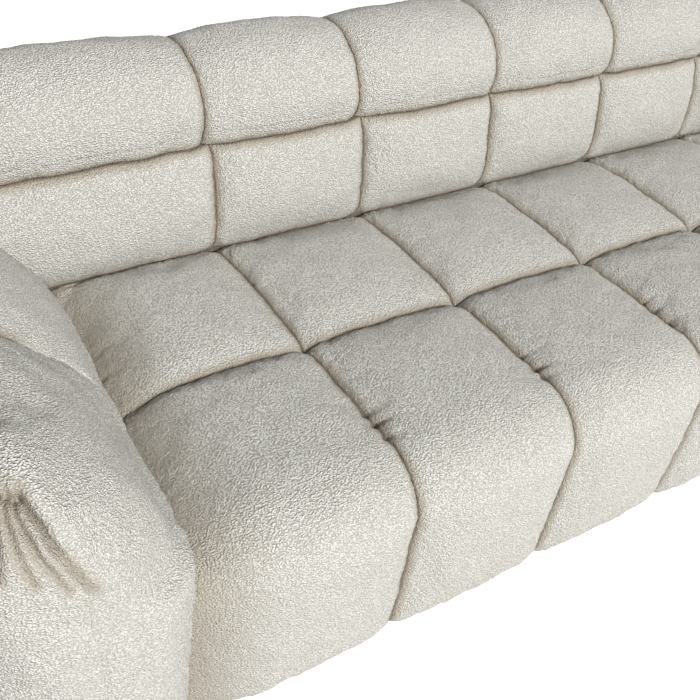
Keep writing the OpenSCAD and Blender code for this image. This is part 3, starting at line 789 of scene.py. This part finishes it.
def back_columns(shift):
    """The same for the back, whose end tufts lie behind the arm. Its sewn lines are shifted."""
    z = sizes()
    left = BACK_LOWER[0][0]
    inner = seat_columns()[0][1:-1]
    ends = [left, left + z.end_tuft_w] + [x + shift for x in inner] + [0.0]
    return ends, [(SHORT, SEWN, SEWN)] * (len(ends) - 1)


def half_and_mirror(quilt, place, corners, tuck=0):
    """Skin, seam gaps and lining of a cover along the sofa, from its left half. The lining runs
    through the corners' depths and heights, and is tucked in at its ends."""
    gap = quilt.seam_gap()
    # Painted shade: the seat's ends count as near a seam, so that the seams' warm shade falls beside
    # the arms
    if place is along_seat:
        from_end = (quilt.across - quilt.ends[0])[:, None]
        gap = np.minimum(gap, END_GAP + END_SHADE * np.maximum(0, from_end - END_HIDDEN))
    gap = np.concatenate([gap, gap[-2::-1]])
    lining = [mirrored(place(quilt.across, np.broadcast_to(at, (len(quilt.across), 1, 2))))[:, 0]
              for at in corners]
    for row in lining:
        from_end = abs(row[0, 0]) - np.abs(row[:, 0])
        row[:, 1] += tuck * np.clip(1 - from_end / TUCK_W, 0, 1)
    return mirrored(stuff(quilt, place)), gap, lining


def quilted_piece(name, columns, rows, corners, node, place=along_x, tuck=0, sunk=None):
    """One row of tufts along the sofa, made as a left half and its mirror image."""
    skin = half_and_mirror(Quilt(*columns, rows), place, corners, tuck)
    finish_cover(cover(name, *skin), node, sunk)


def pad_floor():
    """Height of the seat pads' underside."""
    return sizes().seat_h - sizes().wadding_t


def front_inner_y():
    """Depth at which the cover on the front rail ends."""
    z = sizes()
    return ROW_Y - z.front_row_d + z.wadding_t


class CoverSeat(bpy.types.Operator):
    """Make the seat's two rows of tufts"""

    bl_idname = "sofa.cover_seat"
    bl_label = "Seat tufts"

    def execute(self, context):
        z = sizes()
        crown = even(z.pad_crown)
        low = pad_floor()
        quilted_piece("seat_rear_cover", seat_columns(),
                      [Row(seat_rear_curve, z.rear_row_d, (SHORT, SEWN, CREASED), crown)],
                      [(ROW_Y + z.rear_row_d, low), (ROW_Y, low)], "seat_rear_pads",
                      along_seat)
        quilted_piece("seat_front_cover", seat_columns(),
                      [Row(seat_front_curve, sum(front_lengths()), (LONG, SEWN, SEWN), crown)],
                      [(ROW_Y, low), (front_inner_y(), low), (front_inner_y(), HEM_Z)],
                      "seat_front_pads", along_seat, TUCK, pinches)
        return {"FINISHED"}


class CoverBack(bpy.types.Operator):
    """Make the back's two rows of tufts"""

    bl_idname = "sofa.cover_back"
    bl_label = "Back tufts"

    def execute(self, context):
        z = sizes()
        behind = z.wadding_t / math.cos(z.back_lean)
        seam_h = z.seat_h + z.lower_row_h
        crest = WHOLE[1][2] - z.pad_crown - z.wadding_t
        rear = REAR_PANEL[0][1]
        quilted_piece("back_lower_cover", back_columns(0.0),
                      [Row(back_lower_curve, z.lower_row_h, (SHORT, CREASED, SEWN),
                           even(z.pad_crown))],
                      [(back_face_y(seam_h) + behind, seam_h),
                       (back_face_y(pad_floor()) + behind, pad_floor()),
                       (ROW_Y + z.rear_row_d, pad_floor())], "back_lower_pads")
        quilted_piece("back_upper_cover", back_columns(UPPER_SHIFT),
                      [Row(back_upper_curve, sum(upper_lengths()[:3]), (LONG, SEWN, SEWN),
                           turning(z.pad_crown, z.rear_crown, *UPPER_TURN))],
                      [(rear, BACK_UPPER[0][2]), (rear, crest),
                       (back_face_y(crest) + behind, crest),
                       (back_face_y(seam_h) + behind, seam_h)], "back_upper_pads")
        return {"FINISHED"}


def arm_wall_curve(s):
    """The arm's side against the seat, from the hem up to the seat's pits."""
    low = HEM_Z
    return np.zeros_like(s), low + s * (sizes().seat_h - low)


def arm_rows():
    z = sizes()
    low = HEM_Z
    seam_x, seam_z = arm_seam()
    arc, drop = arm_top_lengths()[:2]
    inner = math.pi / 2 * math.hypot(seam_x, seam_z) / math.sqrt(2)
    return [Row(arm_wall_curve, z.seat_h - low, (SHORT, CREASED, CREASED), even(0.0)),
            Row(arm_inner_curve, inner, (SHORT, CREASED, SEWN),
                turning(z.foot_crown, z.pad_crown, *INSIDE_TURN)),
            Row(arm_top_curve, arc + drop, (SHORT, SEWN, SEWN),
                turning(z.pad_crown, z.outer_crown, *TOP_TURN)),
            Row(arm_side_curve, z.seat_h - z.outer_seam_drop - low, (SHORT, SEWN, SEWN),
                even(z.outer_crown))]


def front_end_section(quilt, puff):
    """The arm's section over its front end: one bulge all round, with no seams."""
    z = sizes()
    run, whole = quilt.run()
    share = run / whole
    crown = z.pad_crown + (z.outer_crown - z.pad_crown) * smooth(share, *END_TURN)
    rise = crown * puff * edge_crown(share, LONG, SEWN, SEWN)
    found = np.zeros((len(run), 2))
    for r, row in enumerate(quilt.rows):
        at = quilt.row == r
        found[at] = pushed(row.curve, quilt.s[at], rise[at])
    return found


def drawn_in(section, inset):
    """The arm's section drawn in towards the middle of its front face."""
    z = sizes()
    low = HEM_Z
    middle = z.arm_w / 2
    kx = 1 - inset / middle
    kz = 1 - inset / (z.arm_h - low)
    return np.stack([middle + (section[..., 0] - middle) * kx,
                     low + (section[..., 1] - low) * kz], -1)


class ArmQuilt(Quilt):
    """The left arm's cover: a rear tuft, half a front tuft, and the front end drawn together"""

    def __init__(self):
        z = sizes()
        middle = ROW_Y
        flat = front_lengths()[0]
        self.end_r = z.front_edge_r + z.pad_crown
        self.reach = CHEEK[0][1] - middle
        super().__init__([middle - 2 * flat, middle, middle + z.rear_row_d],
                         [(SHORT, SEWN, SEWN), (SHORT, SEWN, CREASED)], arm_rows())
        rear = self.column == 1
        self.t[rear] *= self.reach / z.rear_row_d
        kept = rear | (self.t > 0.5 - ROUNDING)
        self.column = self.column[kept]
        self.t = self.t[kept]
        body = np.array(self.ends)[self.column] + np.diff(self.ends)[self.column] * self.t
        turns = np.linspace(np.pi / 2, 0, END_RINGS + 1)[:-1]
        closing = np.linspace(z.arm_w / 2 - SLIT, self.end_r, CLOSING_RINGS + 1)[:-1]
        self.angle = np.concatenate([np.full(CLOSING_RINGS, np.pi / 2), turns])
        self.inset = np.concatenate([closing, self.end_r * (1 - np.cos(turns))])
        front = middle - flat - self.end_r * np.sin(self.angle)
        self.across = np.concatenate([front, body])

    def upper(self):
        """Share of the section that counts as the arm's top, where the seam fades out."""
        return np.where(self.row == 1, smooth(self.s, *TOP_START), self.row > 1)

    def blend(self, angle):
        """Share of the seamless front section at an angle over the front end."""
        low = 1 - np.cos(angle)
        return (low + (1 - low) * self.upper())[:, None]

    def lost_fold(self):
        """Share by which the seam across the arm has faded out, towards the seat."""
        low = np.where(self.row == 1, 1 - smooth(self.s, *FOLD_BACK), 0)
        y = self.across[len(self.angle):]
        return np.exp(-((y - ROW_Y) / FOLD_L) ** 2)[:, None] * low[None, :]

    def sections(self, puff=1.0):
        body = super().sections(puff)
        lost = (FOLD_LOSS * self.lost_fold())[..., None]
        body = (1 - lost) * body + lost * body[0]
        end = front_end_section(self, puff)
        y = self.across[len(self.angle):]
        fade = 1 - smooth(y, round_y(), round_y() + SEAM_FADE)
        fade = (fade[:, None] * self.upper()[None, :])[..., None]
        body = (1 - fade) * body + fade * end
        rings = []
        for angle, inset in zip(self.angle, self.inset):
            share = self.blend(angle)
            rings.append(drawn_in((1 - share) * body[0] + share * end, inset))
        return np.concatenate([np.array(rings), body])

    def seam_gap(self):
        body = super().seam_gap() + FAR_FROM_SEAM * self.lost_fold()
        run, whole = self.run()
        hem = np.minimum(run, whole - run)
        before = self.across[len(self.angle):, None] < round_y() + SEAM_FADE * FADED
        faded = before & (self.upper() > 0.5)
        body[faded] = np.broadcast_to(hem, body.shape)[faded]
        rings = np.broadcast_to(hem, (len(self.angle), len(hem)))
        body[-1] = 0
        return np.concatenate([rings, body])

    def place(self, across, section, follow=1.0):
        """Points of the left arm: the rear tuft leans with the back, and the inside follows the
        seat's end tufts."""
        z = sizes()
        middle = ROW_Y
        lean = math.tan(z.back_lean) * np.maximum(0, section[..., 1] - z.seat_h) / self.reach
        y = across[:, None] + np.maximum(0, across[:, None] - middle) * lean
        inside = np.clip(1 - section[..., 0] / arm_seam()[0], 0, 1)
        inside *= FOOT_SHARE + (1 - FOOT_SHARE) * smooth(section[..., 1] - z.seat_h, 0, FOOT_H)
        x = section[..., 0] + follow * spread(y) * inside
        return np.stack([SEAT_LEFT - x, y, section[..., 1]], -1)

    def lining(self):
        """Rows inside the cover, from the outer hem over the arm's frame and down beside the seat."""
        z = sizes()
        low = HEM_Z
        inset = np.concatenate([self.inset, np.zeros(len(self.t))])[:, None]
        across = np.maximum(self.across, front_inner_y())
        found = []
        spots = [pushed(row.curve, np.array([s]), np.array([-z.wadding_t]))[0]
                 for row in self.rows[:0:-1] for s in LINING_SPOTS]
        spots[0][1] = low
        for spot in spots:
            section = drawn_in(spot[None, None, :], inset)
            found.append(self.place(across, section, LINING_SHARE)[:, 0])
        for height in (pad_floor(), low):
            section = drawn_in(np.array([[[LINING_T, height]]]), inset)
            found.append(self.place(across, section)[:, 0])
        return found


def turned_over(piece, name):
    """A copy of a piece on the sofa's other side."""
    bpy.ops.object.select_all(action="DESELECT")
    piece.select_set(True)
    bpy.context.view_layer.objects.active = piece
    bpy.ops.object.duplicate(linked=False)
    other = bpy.context.object
    other.name = name
    other.data.name = name
    move_to(other, vertices(other) * MIRROR)
    bpy.ops.object.mode_set(mode="EDIT")
    bpy.ops.mesh.select_all(action="SELECT")
    bpy.ops.mesh.flip_normals()
    bpy.ops.object.mode_set(mode="OBJECT")
    return other


class CoverArms(bpy.types.Operator):
    """Make the covers of the two arms"""

    bl_idname = "sofa.cover_arms"
    bl_label = "Arm tufts"

    def execute(self, context):
        quilt = ArmQuilt()
        skin = stuff(quilt, quilt.place)
        left = cover("left_arm_cover", skin, quilt.seam_gap(), quilt.lining())
        right = turned_over(left, "right_arm_cover")
        finish_cover(left, "left_arm_pads", pleats)
        finish_cover(right, "right_arm_pads", pleats)
        return {"FINISHED"}


def rear_panel_curve(s):
    """The plain panel behind the back, from its top down."""
    low, high = REAR_PANEL
    return np.full_like(s, high[1] - PANEL_CROWN), high[2] - s * (high[2] - low[2])


class CoverRear(bpy.types.Operator):
    """Make the padded panel behind the back"""

    bl_idname = "sofa.cover_rear"
    bl_label = "Rear panel"

    def execute(self, context):
        low, high = REAR_PANEL
        ends = [low[0], -2 * sizes().tuft_w, 0.0]
        rows = [Row(rear_panel_curve, high[2] - low[2], (LONG, SEWN, SEWN), even(PANEL_CROWN * 2))]
        quilt = Quilt(ends, [(LONG, SEWN, SEWN)] * 2, rows, PANEL_CROWN, 0)
        skin = half_and_mirror(quilt, along_x, [(low[1], low[2]), (low[1], high[2])])
        finish_cover(cover("rear_panel_cover", *skin, fine=False), "back_outer_panel")
        return {"FINISHED"}


def cheek_outline():
    """Depth and height round the cheek at the end of the back, from its front foot upwards."""
    z = sizes()
    low, high = CHEEK
    arm_top = z.arm_h - z.pad_crown
    found = [(low[1], low[2]), (low[1], z.seat_h),
             (low[1] + (arm_top - z.seat_h) * math.tan(z.back_lean), arm_top),
             (back_face_y(z.arm_h), z.arm_h)]
    y, height = back_upper_curve(np.linspace(0, 1, CHEEK_STEPS))
    found += [(a, b) for a, b in zip(y, height) if b > z.arm_h]
    found += [(high[1], REAR_PANEL[1][2]), (high[1], low[2])]
    return found


class CoverCheeks(bpy.types.Operator):
    """Make the padded cheeks at the ends of the back"""

    bl_idname = "sofa.cover_cheeks"
    bl_label = "Cheeks"

    def execute(self, context):
        low, high = CHEEK
        outline = cheek_outline()
        bpy.ops.object.select_all(action="DESELECT")
        bpy.ops.mesh.primitive_circle_add(vertices=len(outline), radius=1, fill_type="NGON")
        piece = bpy.context.object
        piece.name = "left_cheek_cover"
        piece.data.name = piece.name
        move_to(piece, np.array([(high[0], y, height) for y, height in outline]))
        bpy.ops.object.mode_set(mode="EDIT")
        bpy.ops.mesh.select_all(action="SELECT")
        bpy.ops.mesh.extrude_region_move(
            TRANSFORM_OT_translate={"value": (low[0] - high[0] + CHEEK_ROOM, 0, 0)})
        bpy.ops.mesh.select_all(action="SELECT")
        bpy.ops.mesh.normals_make_consistent(inside=False)
        bpy.ops.object.mode_set(mode="OBJECT")
        add_modifier(piece, "edges", "BEVEL", width=CHEEK_ROUND, segments=3, limit_method="ANGLE")
        add_modifier(piece, "cells", "REMESH", mode="VOXEL", voxel_size=CHEEK_CELL)
        add_modifier(piece, "softening", "SMOOTH", factor=0.5, iterations=6)
        puff_up(piece)
        right = turned_over(piece, "right_cheek_cover")
        for cheek, node in ((piece, "left_back_end_panel"), (right, "right_back_end_panel")):
            away = cheek.data.attributes.new("seam_gap", "FLOAT", "POINT")
            away.data.foreach_set("value", np.full(len(cheek.data.vertices), FAR_FROM_SEAM))
            finish_cover(cheek, node)
        return {"FINISHED"}


def add_modifier(piece, name, kind, **settings):
    """Adds a modifier with these settings and applies it."""
    modifier = piece.modifiers.new(name, kind)
    for key, value in settings.items():
        setattr(modifier, key, value)
    bpy.context.view_layer.objects.active = piece
    bpy.ops.object.modifier_apply(modifier=modifier.name)


def puff_up(piece):
    """Stuffs a closed piece."""
    before = vertices(piece)
    move_to(piece, held_back(before, simulate(piece) - before))


def linear(code):
    """Linear colour from an sRGB hex code."""
    parts = [int(code[i:i + 2], 16) / 255 for i in (0, 2, 4)]
    return tuple(p / 12.92 if p <= 0.04045 else ((p + 0.055) / 1.055) ** 2.4 for p in parts)


def add_node(tree, kind, links=None, **settings):
    """Adds a node. settings are its own properties, or values of its inputs by name, and links
    give the outputs that feed its inputs."""
    made = tree.nodes.new(kind)
    for key, value in settings.items():
        if hasattr(made, key):
            setattr(made, key, value)
        else:
            made.inputs[key.replace("_", " ")].default_value = value
    for key, source in (links or {}).items():
        tree.links.new(source, made.inputs[key])
    return made


def new_material(name):
    """A node material: its tree, its shader, and the places on the piece that its patterns take."""
    material = bpy.data.materials.new(name)
    material.use_nodes = True
    tree = material.node_tree
    tree.nodes.clear()
    out = tree.nodes.new("ShaderNodeOutputMaterial")
    shader = tree.nodes.new("ShaderNodeBsdfPrincipled")
    tree.links.new(shader.outputs[0], out.inputs[0])
    return material, tree, shader, add_node(tree, "ShaderNodeTexCoord").outputs["Object"]


def two_tones(tree, value, first, last, start=0.0, end=1.0):
    """Colour that turns from the first tone to the last as a value goes from start to end."""
    ramp = add_node(tree, "ShaderNodeValToRGB", {"Fac": value})
    for stop, place, code in zip(ramp.color_ramp.elements, (start, end), (first, last)):
        stop.position = place
        stop.color = (*linear(code), 1)
    return ramp.outputs[0]


def relief(tree, shader, height, strength, depth):
    """Raises a shader's surface by a height that goes from 0 to 1 over this depth."""
    bump = add_node(tree, "ShaderNodeBump", {"Height": height}, Strength=strength, Distance=depth)
    tree.links.new(bump.outputs[0], shader.inputs["Normal"])


def set_shader(tree, shader, colour, **values):
    """Links a shader's colour, and sets constant values on its own sockets."""
    tree.links.new(colour, shader.inputs["Base Color"])
    for key, value in values.items():
        shader.inputs[key.replace("_", " ")].default_value = value


def painted_seam_shade(tree, gap, colour, reach, share, deep):
    """The colour, turned towards a deeper one beside the seams: painted shade in their grooves."""
    near = add_node(tree, "ShaderNodeMapRange", {"Value": gap.outputs["Fac"]},
                    interpolation_type="SMOOTHSTEP",
                    **{"From_Max": reach, "To_Min": share, "To_Max": 0.0})
    mixed = add_node(tree, "ShaderNodeMix", {0: near.outputs[0], 6: colour}, data_type="RGBA")
    mixed.inputs[7].default_value = (*linear(deep), 1)
    return mixed.outputs[2]


def stray_loops(tree, place):
    """Height of round loops, 1 on their tops, in rows that stray a little."""
    wave = add_node(tree, "ShaderNodeTexNoise", {"Vector": place}, Scale=1 / LOOP_STRAY_L,
                    Detail=1.0)
    centred = add_node(tree, "ShaderNodeVectorMath", {0: wave.outputs["Color"]},
                       operation="SUBTRACT")
    centred.inputs[1].default_value = (0.5, 0.5, 0.5)
    bent = add_node(tree, "ShaderNodeVectorMath", {0: centred.outputs[0]}, operation="SCALE",
                    Scale=LOOP_STRAY)
    wavy = add_node(tree, "ShaderNodeVectorMath", {0: place, 1: bent.outputs[0]},
                    operation="ADD")
    drawn = add_node(tree, "ShaderNodeMapping", {"Vector": wavy.outputs[0]}, Scale=LOOP_DRAW)
    loops = add_node(tree, "ShaderNodeTexVoronoi", {"Vector": drawn.outputs[0]},
                     Scale=1 / LOOP_SPACING)
    tops = add_node(tree, "ShaderNodeMapRange", {"Value": loops.outputs["Distance"]},
                    interpolation_type="SMOOTHSTEP",
                    **{"From_Min": 0.0, "From_Max": LOOP_SIDE, "To_Min": 1.0, "To_Max": 0.0})
    return tops.outputs[0]


def boucle():
    """Looped boucle in ivory wool mix, woven: small round loops 2 to 3 mm across that stand in
    relief, matt, with a faint fuzz that lightens its edges. Shade is painted into its colour: darker
    in the hollows between the loops, and a warm painted shade with a dark line along its seams."""
    material, tree, shader, place = new_material("Looped boucle")
    tops = stray_loops(tree, place)
    fuzz = add_node(tree, "ShaderNodeTexNoise", {"Vector": place}, Scale=1 / FUZZ_L, Detail=3.0,
                    Roughness=0.7)
    height = add_node(tree, "ShaderNodeMath", {0: tops, 1: fuzz.outputs["Fac"]}, operation="ADD")
    relief(tree, shader, height.outputs[0], 1.0, RELIEF)
    # Painted shade in the hollows: the cloth is darker between the loops' tops and lighter on them
    ivory = two_tones(tree, tops, "ABA79D", "EFEEEA", 0.1, 0.7)
    # Painted shade along the seams: a soft warm shade, then a dark line in their grooves
    gap = add_node(tree, "ShaderNodeAttribute", attribute_name="seam_gap")
    shade = painted_seam_shade(tree, gap, ivory, *SEAM_SHADE, "9A8C74")
    line = painted_seam_shade(tree, gap, shade, *SEAM_LINE, "5F4F3D")
    set_shader(tree, shader, line, Roughness=0.95, Sheen_Weight=0.2, Sheen_Roughness=0.6,
               Specular_IOR_Level=0.15)
    return material


def grained_wood(name, dark, light, along, ring, roughness):
    """Wood with its grain along one axis: stretched rings of two tones, and fine pores."""
    material, tree, shader, place = new_material(name)
    stretch = [1.0 / ring] * 3
    stretch["xyz".index(along)] /= GRAIN_DRAW
    drawn = add_node(tree, "ShaderNodeMapping", {"Vector": place}, Scale=stretch)
    grain = add_node(tree, "ShaderNodeTexNoise", {"Vector": drawn.outputs[0]}, Scale=1.0,
                     Detail=6.0, Distortion=0.6)
    relief(tree, shader, grain.outputs["Fac"], 0.3, PORE_DEPTH)
    tone = two_tones(tree, grain.outputs["Fac"], dark, light, 0.35, 0.65)
    set_shader(tree, shader, tone, Roughness=roughness)
    return material


def sawn_softwood():
    """Sawn spruce, dry: pale yellow with darker summer rings 4 mm apart, rough from the saw."""
    return grained_wood("Sawn spruce", "B98D58", "DDBB88", "x", 0.004, 0.75)


def birch_plywood():
    """Birch plywood, raw: pale, fine-grained and slightly silky."""
    return grained_wood("Birch plywood", "C39A66", "E0C294", "z", 0.003, 0.65)


def stained_wood():
    """Beech stained nearly black, under satin lacquer, so that its fine grain only just shows."""
    return grained_wood("Stained beech", "1B1310", "33251E", "z", 0.0022, 0.35)


def speckled(name, dark, light, grain, roughness, depth):
    """A matt stuff with grains or cells of this size in metres, in two tones."""
    material, tree, shader, place = new_material(name)
    cells = add_node(tree, "ShaderNodeTexVoronoi", {"Vector": place}, Scale=1 / grain)
    relief(tree, shader, cells.outputs["Distance"], 0.6, depth)
    tone = two_tones(tree, cells.outputs["Distance"], light, dark, 0.0, 0.8)
    set_shader(tree, shader, tone, Roughness=roughness)
    return material


def seat_foam():
    """Polyurethane foam, cut: cream, matt, with open cells drawn at 2 mm."""
    return speckled("Polyurethane foam", "C9B877", "EBDDAA", 0.002, 0.95, 0.0005)


def needled_felt():
    """Needled felt from torn fibres: dark grey with pale flecks 3 mm apart."""
    return speckled("Needled felt", "26262A", "5B5B60", 0.003, 1.0, 0.0006)


def spunbond_cloth():
    """Spunbond polypropylene, black: thin dust cloth with the small dimples of its bonding."""
    return speckled("Spunbond cloth", "0C0C0D", "1C1C1E", 0.0025, 0.8, 0.0002)


def elastic_webbing():
    """Woven elastic webbing, black: ribs across the strap, drawn 2.5 mm apart."""
    material, tree, shader, place = new_material("Elastic webbing")
    ribs = add_node(tree, "ShaderNodeTexWave", {"Vector": place}, bands_direction="Z",
                    Scale=math.pi / (10 * RIB_W), Distortion=0.4)
    relief(tree, shader, ribs.outputs["Fac"], 0.5, RIB_DEPTH)
    tone = two_tones(tree, ribs.outputs["Fac"], "0E0E10", "2C2C30")
    set_shader(tree, shader, tone, Roughness=0.85)
    return material


def drawn_steel(name, dark, light, roughness):
    """Steel wire or plated rod: fine marks from the die, in two close tones."""
    material, tree, shader, place = new_material(name)
    marks = add_node(tree, "ShaderNodeTexNoise", {"Vector": place}, Scale=1 / MARK_L, Detail=4.0)
    worn = add_node(tree, "ShaderNodeMapRange", {"Value": marks.outputs["Fac"]},
                    **{"To_Min": roughness * 0.8, "To_Max": roughness * 1.3})
    tree.links.new(worn.outputs[0], shader.inputs["Roughness"])
    tone = two_tones(tree, marks.outputs["Fac"], dark, light, 0.3, 0.7)
    set_shader(tree, shader, tone, Metallic=1.0)
    return material


def spring_wire():
    """Spring steel wire, drawn and oiled: mid grey with a dull shine."""
    return drawn_steel("Spring steel wire", "5C5E61", "7C7E82", 0.4)


def zinc_plate():
    """Zinc-plated steel: pale bluish grey, satin."""
    return drawn_steel("Zinc-plated steel", "8E9296", "B4B8BC", 0.35)


# Which finish each of the construction's material slots has
FINISHES = {"boucle": boucle, "foam": seat_foam, "felt": needled_felt, "spring_wire": spring_wire,
            "webbing": elastic_webbing, "frame_wood": sawn_softwood, "plywood": birch_plywood,
            "dust_cloth": spunbond_cloth, "foot_wood": stained_wood, "stud_steel": zinc_plate}
MADE = {}


def dress(piece, slot):
    """Gives a piece the finish of this slot."""
    if slot not in MADE:
        MADE[slot] = FINISHES[slot]()
    piece.data.materials.clear()
    piece.data.materials.append(MADE[slot])


class DressFrame(bpy.types.Operator):
    """Give every piece of the construction its finish"""

    bl_idname = "sofa.dress_frame"
    bl_label = "Frame finishes"

    def execute(self, context):
        for part in frame["record"]["subparts"]:
            dress(frame["nodes"][part["node"]], part["material_slot"])
        return {"FINISHED"}


def lamp(name, at, towards, size, power, colour):
    """A rectangular studio lamp that shines from one place towards another."""
    light = bpy.data.lights.new(name, "AREA")
    light.shape = "RECTANGLE"
    light.size = size[0]
    light.size_y = size[1]
    light.energy = power
    light.color = linear(colour)
    holder = bpy.data.objects.new(name, light)
    way = Vector(towards) - Vector(at)
    holder.matrix_world = Matrix.Translation(at) @ way.to_track_quat("-Z", "Y").to_matrix().to_4x4()
    bpy.context.collection.objects.link(holder)


def white_floor():
    """Seamless white paper. The camera sees it a little brighter, so that only the sofa's shadow
    is darker than white."""
    material = bpy.data.materials.new("White paper")
    material.use_nodes = True
    tree = material.node_tree
    tree.nodes.clear()
    out = add_node(tree, "ShaderNodeOutputMaterial")
    paper = add_node(tree, "ShaderNodeBsdfDiffuse", Color=(*linear("E8E8E6"), 1))
    path = add_node(tree, "ShaderNodeLightPath")
    lift = add_node(tree, "ShaderNodeMath", {0: path.outputs["Is Camera Ray"]},
                    operation="MULTIPLY")
    lift.inputs[1].default_value = FLOOR_LIFT
    glow = add_node(tree, "ShaderNodeEmission", {"Strength": lift.outputs[0]})
    both = add_node(tree, "ShaderNodeAddShader", {0: paper.outputs[0], 1: glow.outputs[0]})
    tree.links.new(both.outputs[0], out.inputs[0])
    return material


def white_world(strength):
    """Even light from all round, behind which the camera sees white."""
    world = bpy.data.worlds.new("studio")
    world.use_nodes = True
    tree = world.node_tree
    path = add_node(tree, "ShaderNodeLightPath")
    level = add_node(tree, "ShaderNodeMapRange", {"Value": path.outputs["Is Camera Ray"]},
                     **{"To_Min": strength, "To_Max": 1.0})
    back = tree.nodes["Background"]
    back.inputs["Color"].default_value = (1, 1, 1, 1)
    tree.links.new(level.outputs[0], back.inputs["Strength"])
    return world


class SetStage(bpy.types.Operator):
    """Set up the floor, the light and the camera"""

    bl_idname = "sofa.set_stage"
    bl_label = "Stage"

    def execute(self, context):
        scene = context.scene
        stage = scene.sofa_stage
        bpy.ops.object.select_all(action="DESELECT")
        bpy.ops.mesh.primitive_plane_add(size=FLOOR_W)
        floor = context.object
        floor.name = "studio_floor"
        floor.data.materials.append(white_floor())
        lamp("key_lamp", LAMP_AT, LAMP_TO, LAMP_SIZE, stage.key, "FFFEFC")
        scene.world = white_world(stage.fill)
        camera = bpy.data.cameras.new("camera")
        camera.sensor_width = SENSOR_MM
        camera.lens = stage.lens
        holder = bpy.data.objects.new("camera", camera)
        turn = Matrix.Rotation(-stage.turn, 4, "Z")
        tilt = Matrix.Rotation(math.pi / 2 - stage.tilt, 4, "X")
        roll = Matrix.Rotation(stage.roll, 4, "Z")
        holder.matrix_world = Matrix.Translation(stage.camera_at) @ turn @ tilt @ roll
        context.collection.objects.link(holder)
        scene.camera = holder
        scene.view_settings.view_transform = "Standard"
        return {"FINISHED"}


STEPS = [DressFrame, CoverSeat, CoverBack, CoverArms, CoverRear, CoverCheeks, SetStage]


class SofaPanel(bpy.types.Panel):
    """Sizes, sewing, stage and steps of the tufted sofa"""

    bl_idname = "VIEW3D_PT_sofa"
    bl_label = "Tufted Sofa"
    bl_space_type = "VIEW_3D"
    bl_region_type = "UI"
    bl_category = "Sofa"

    def draw(self, context):
        for group in (context.scene.sofa_sizes, context.scene.sofa_sewing,
                      context.scene.sofa_stage):
            box = self.layout.box()
            for key in group.__annotations__:
                box.prop(group, key)
        for step in STEPS:
            self.layout.operator(step.bl_idname)


GROUPS = {"sofa_sizes": SofaSizes, "sofa_sewing": SofaSewing, "sofa_stage": SofaStage}


def register():
    for made in [*GROUPS.values(), *STEPS, SofaPanel]:
        bpy.utils.register_class(made)
    for name, group in GROUPS.items():
        setattr(bpy.types.Scene, name, PointerProperty(type=group))


def unregister():
    for name in GROUPS:
        delattr(bpy.types.Scene, name)
    for made in [SofaPanel, *reversed(STEPS), *reversed(GROUPS.values())]:
        bpy.utils.unregister_class(made)


def main():
    register()
    for step in STEPS:
        family, name = step.bl_idname.split(".")
        getattr(getattr(bpy.ops, family), name)()


if __name__ == "__main__":
    main()
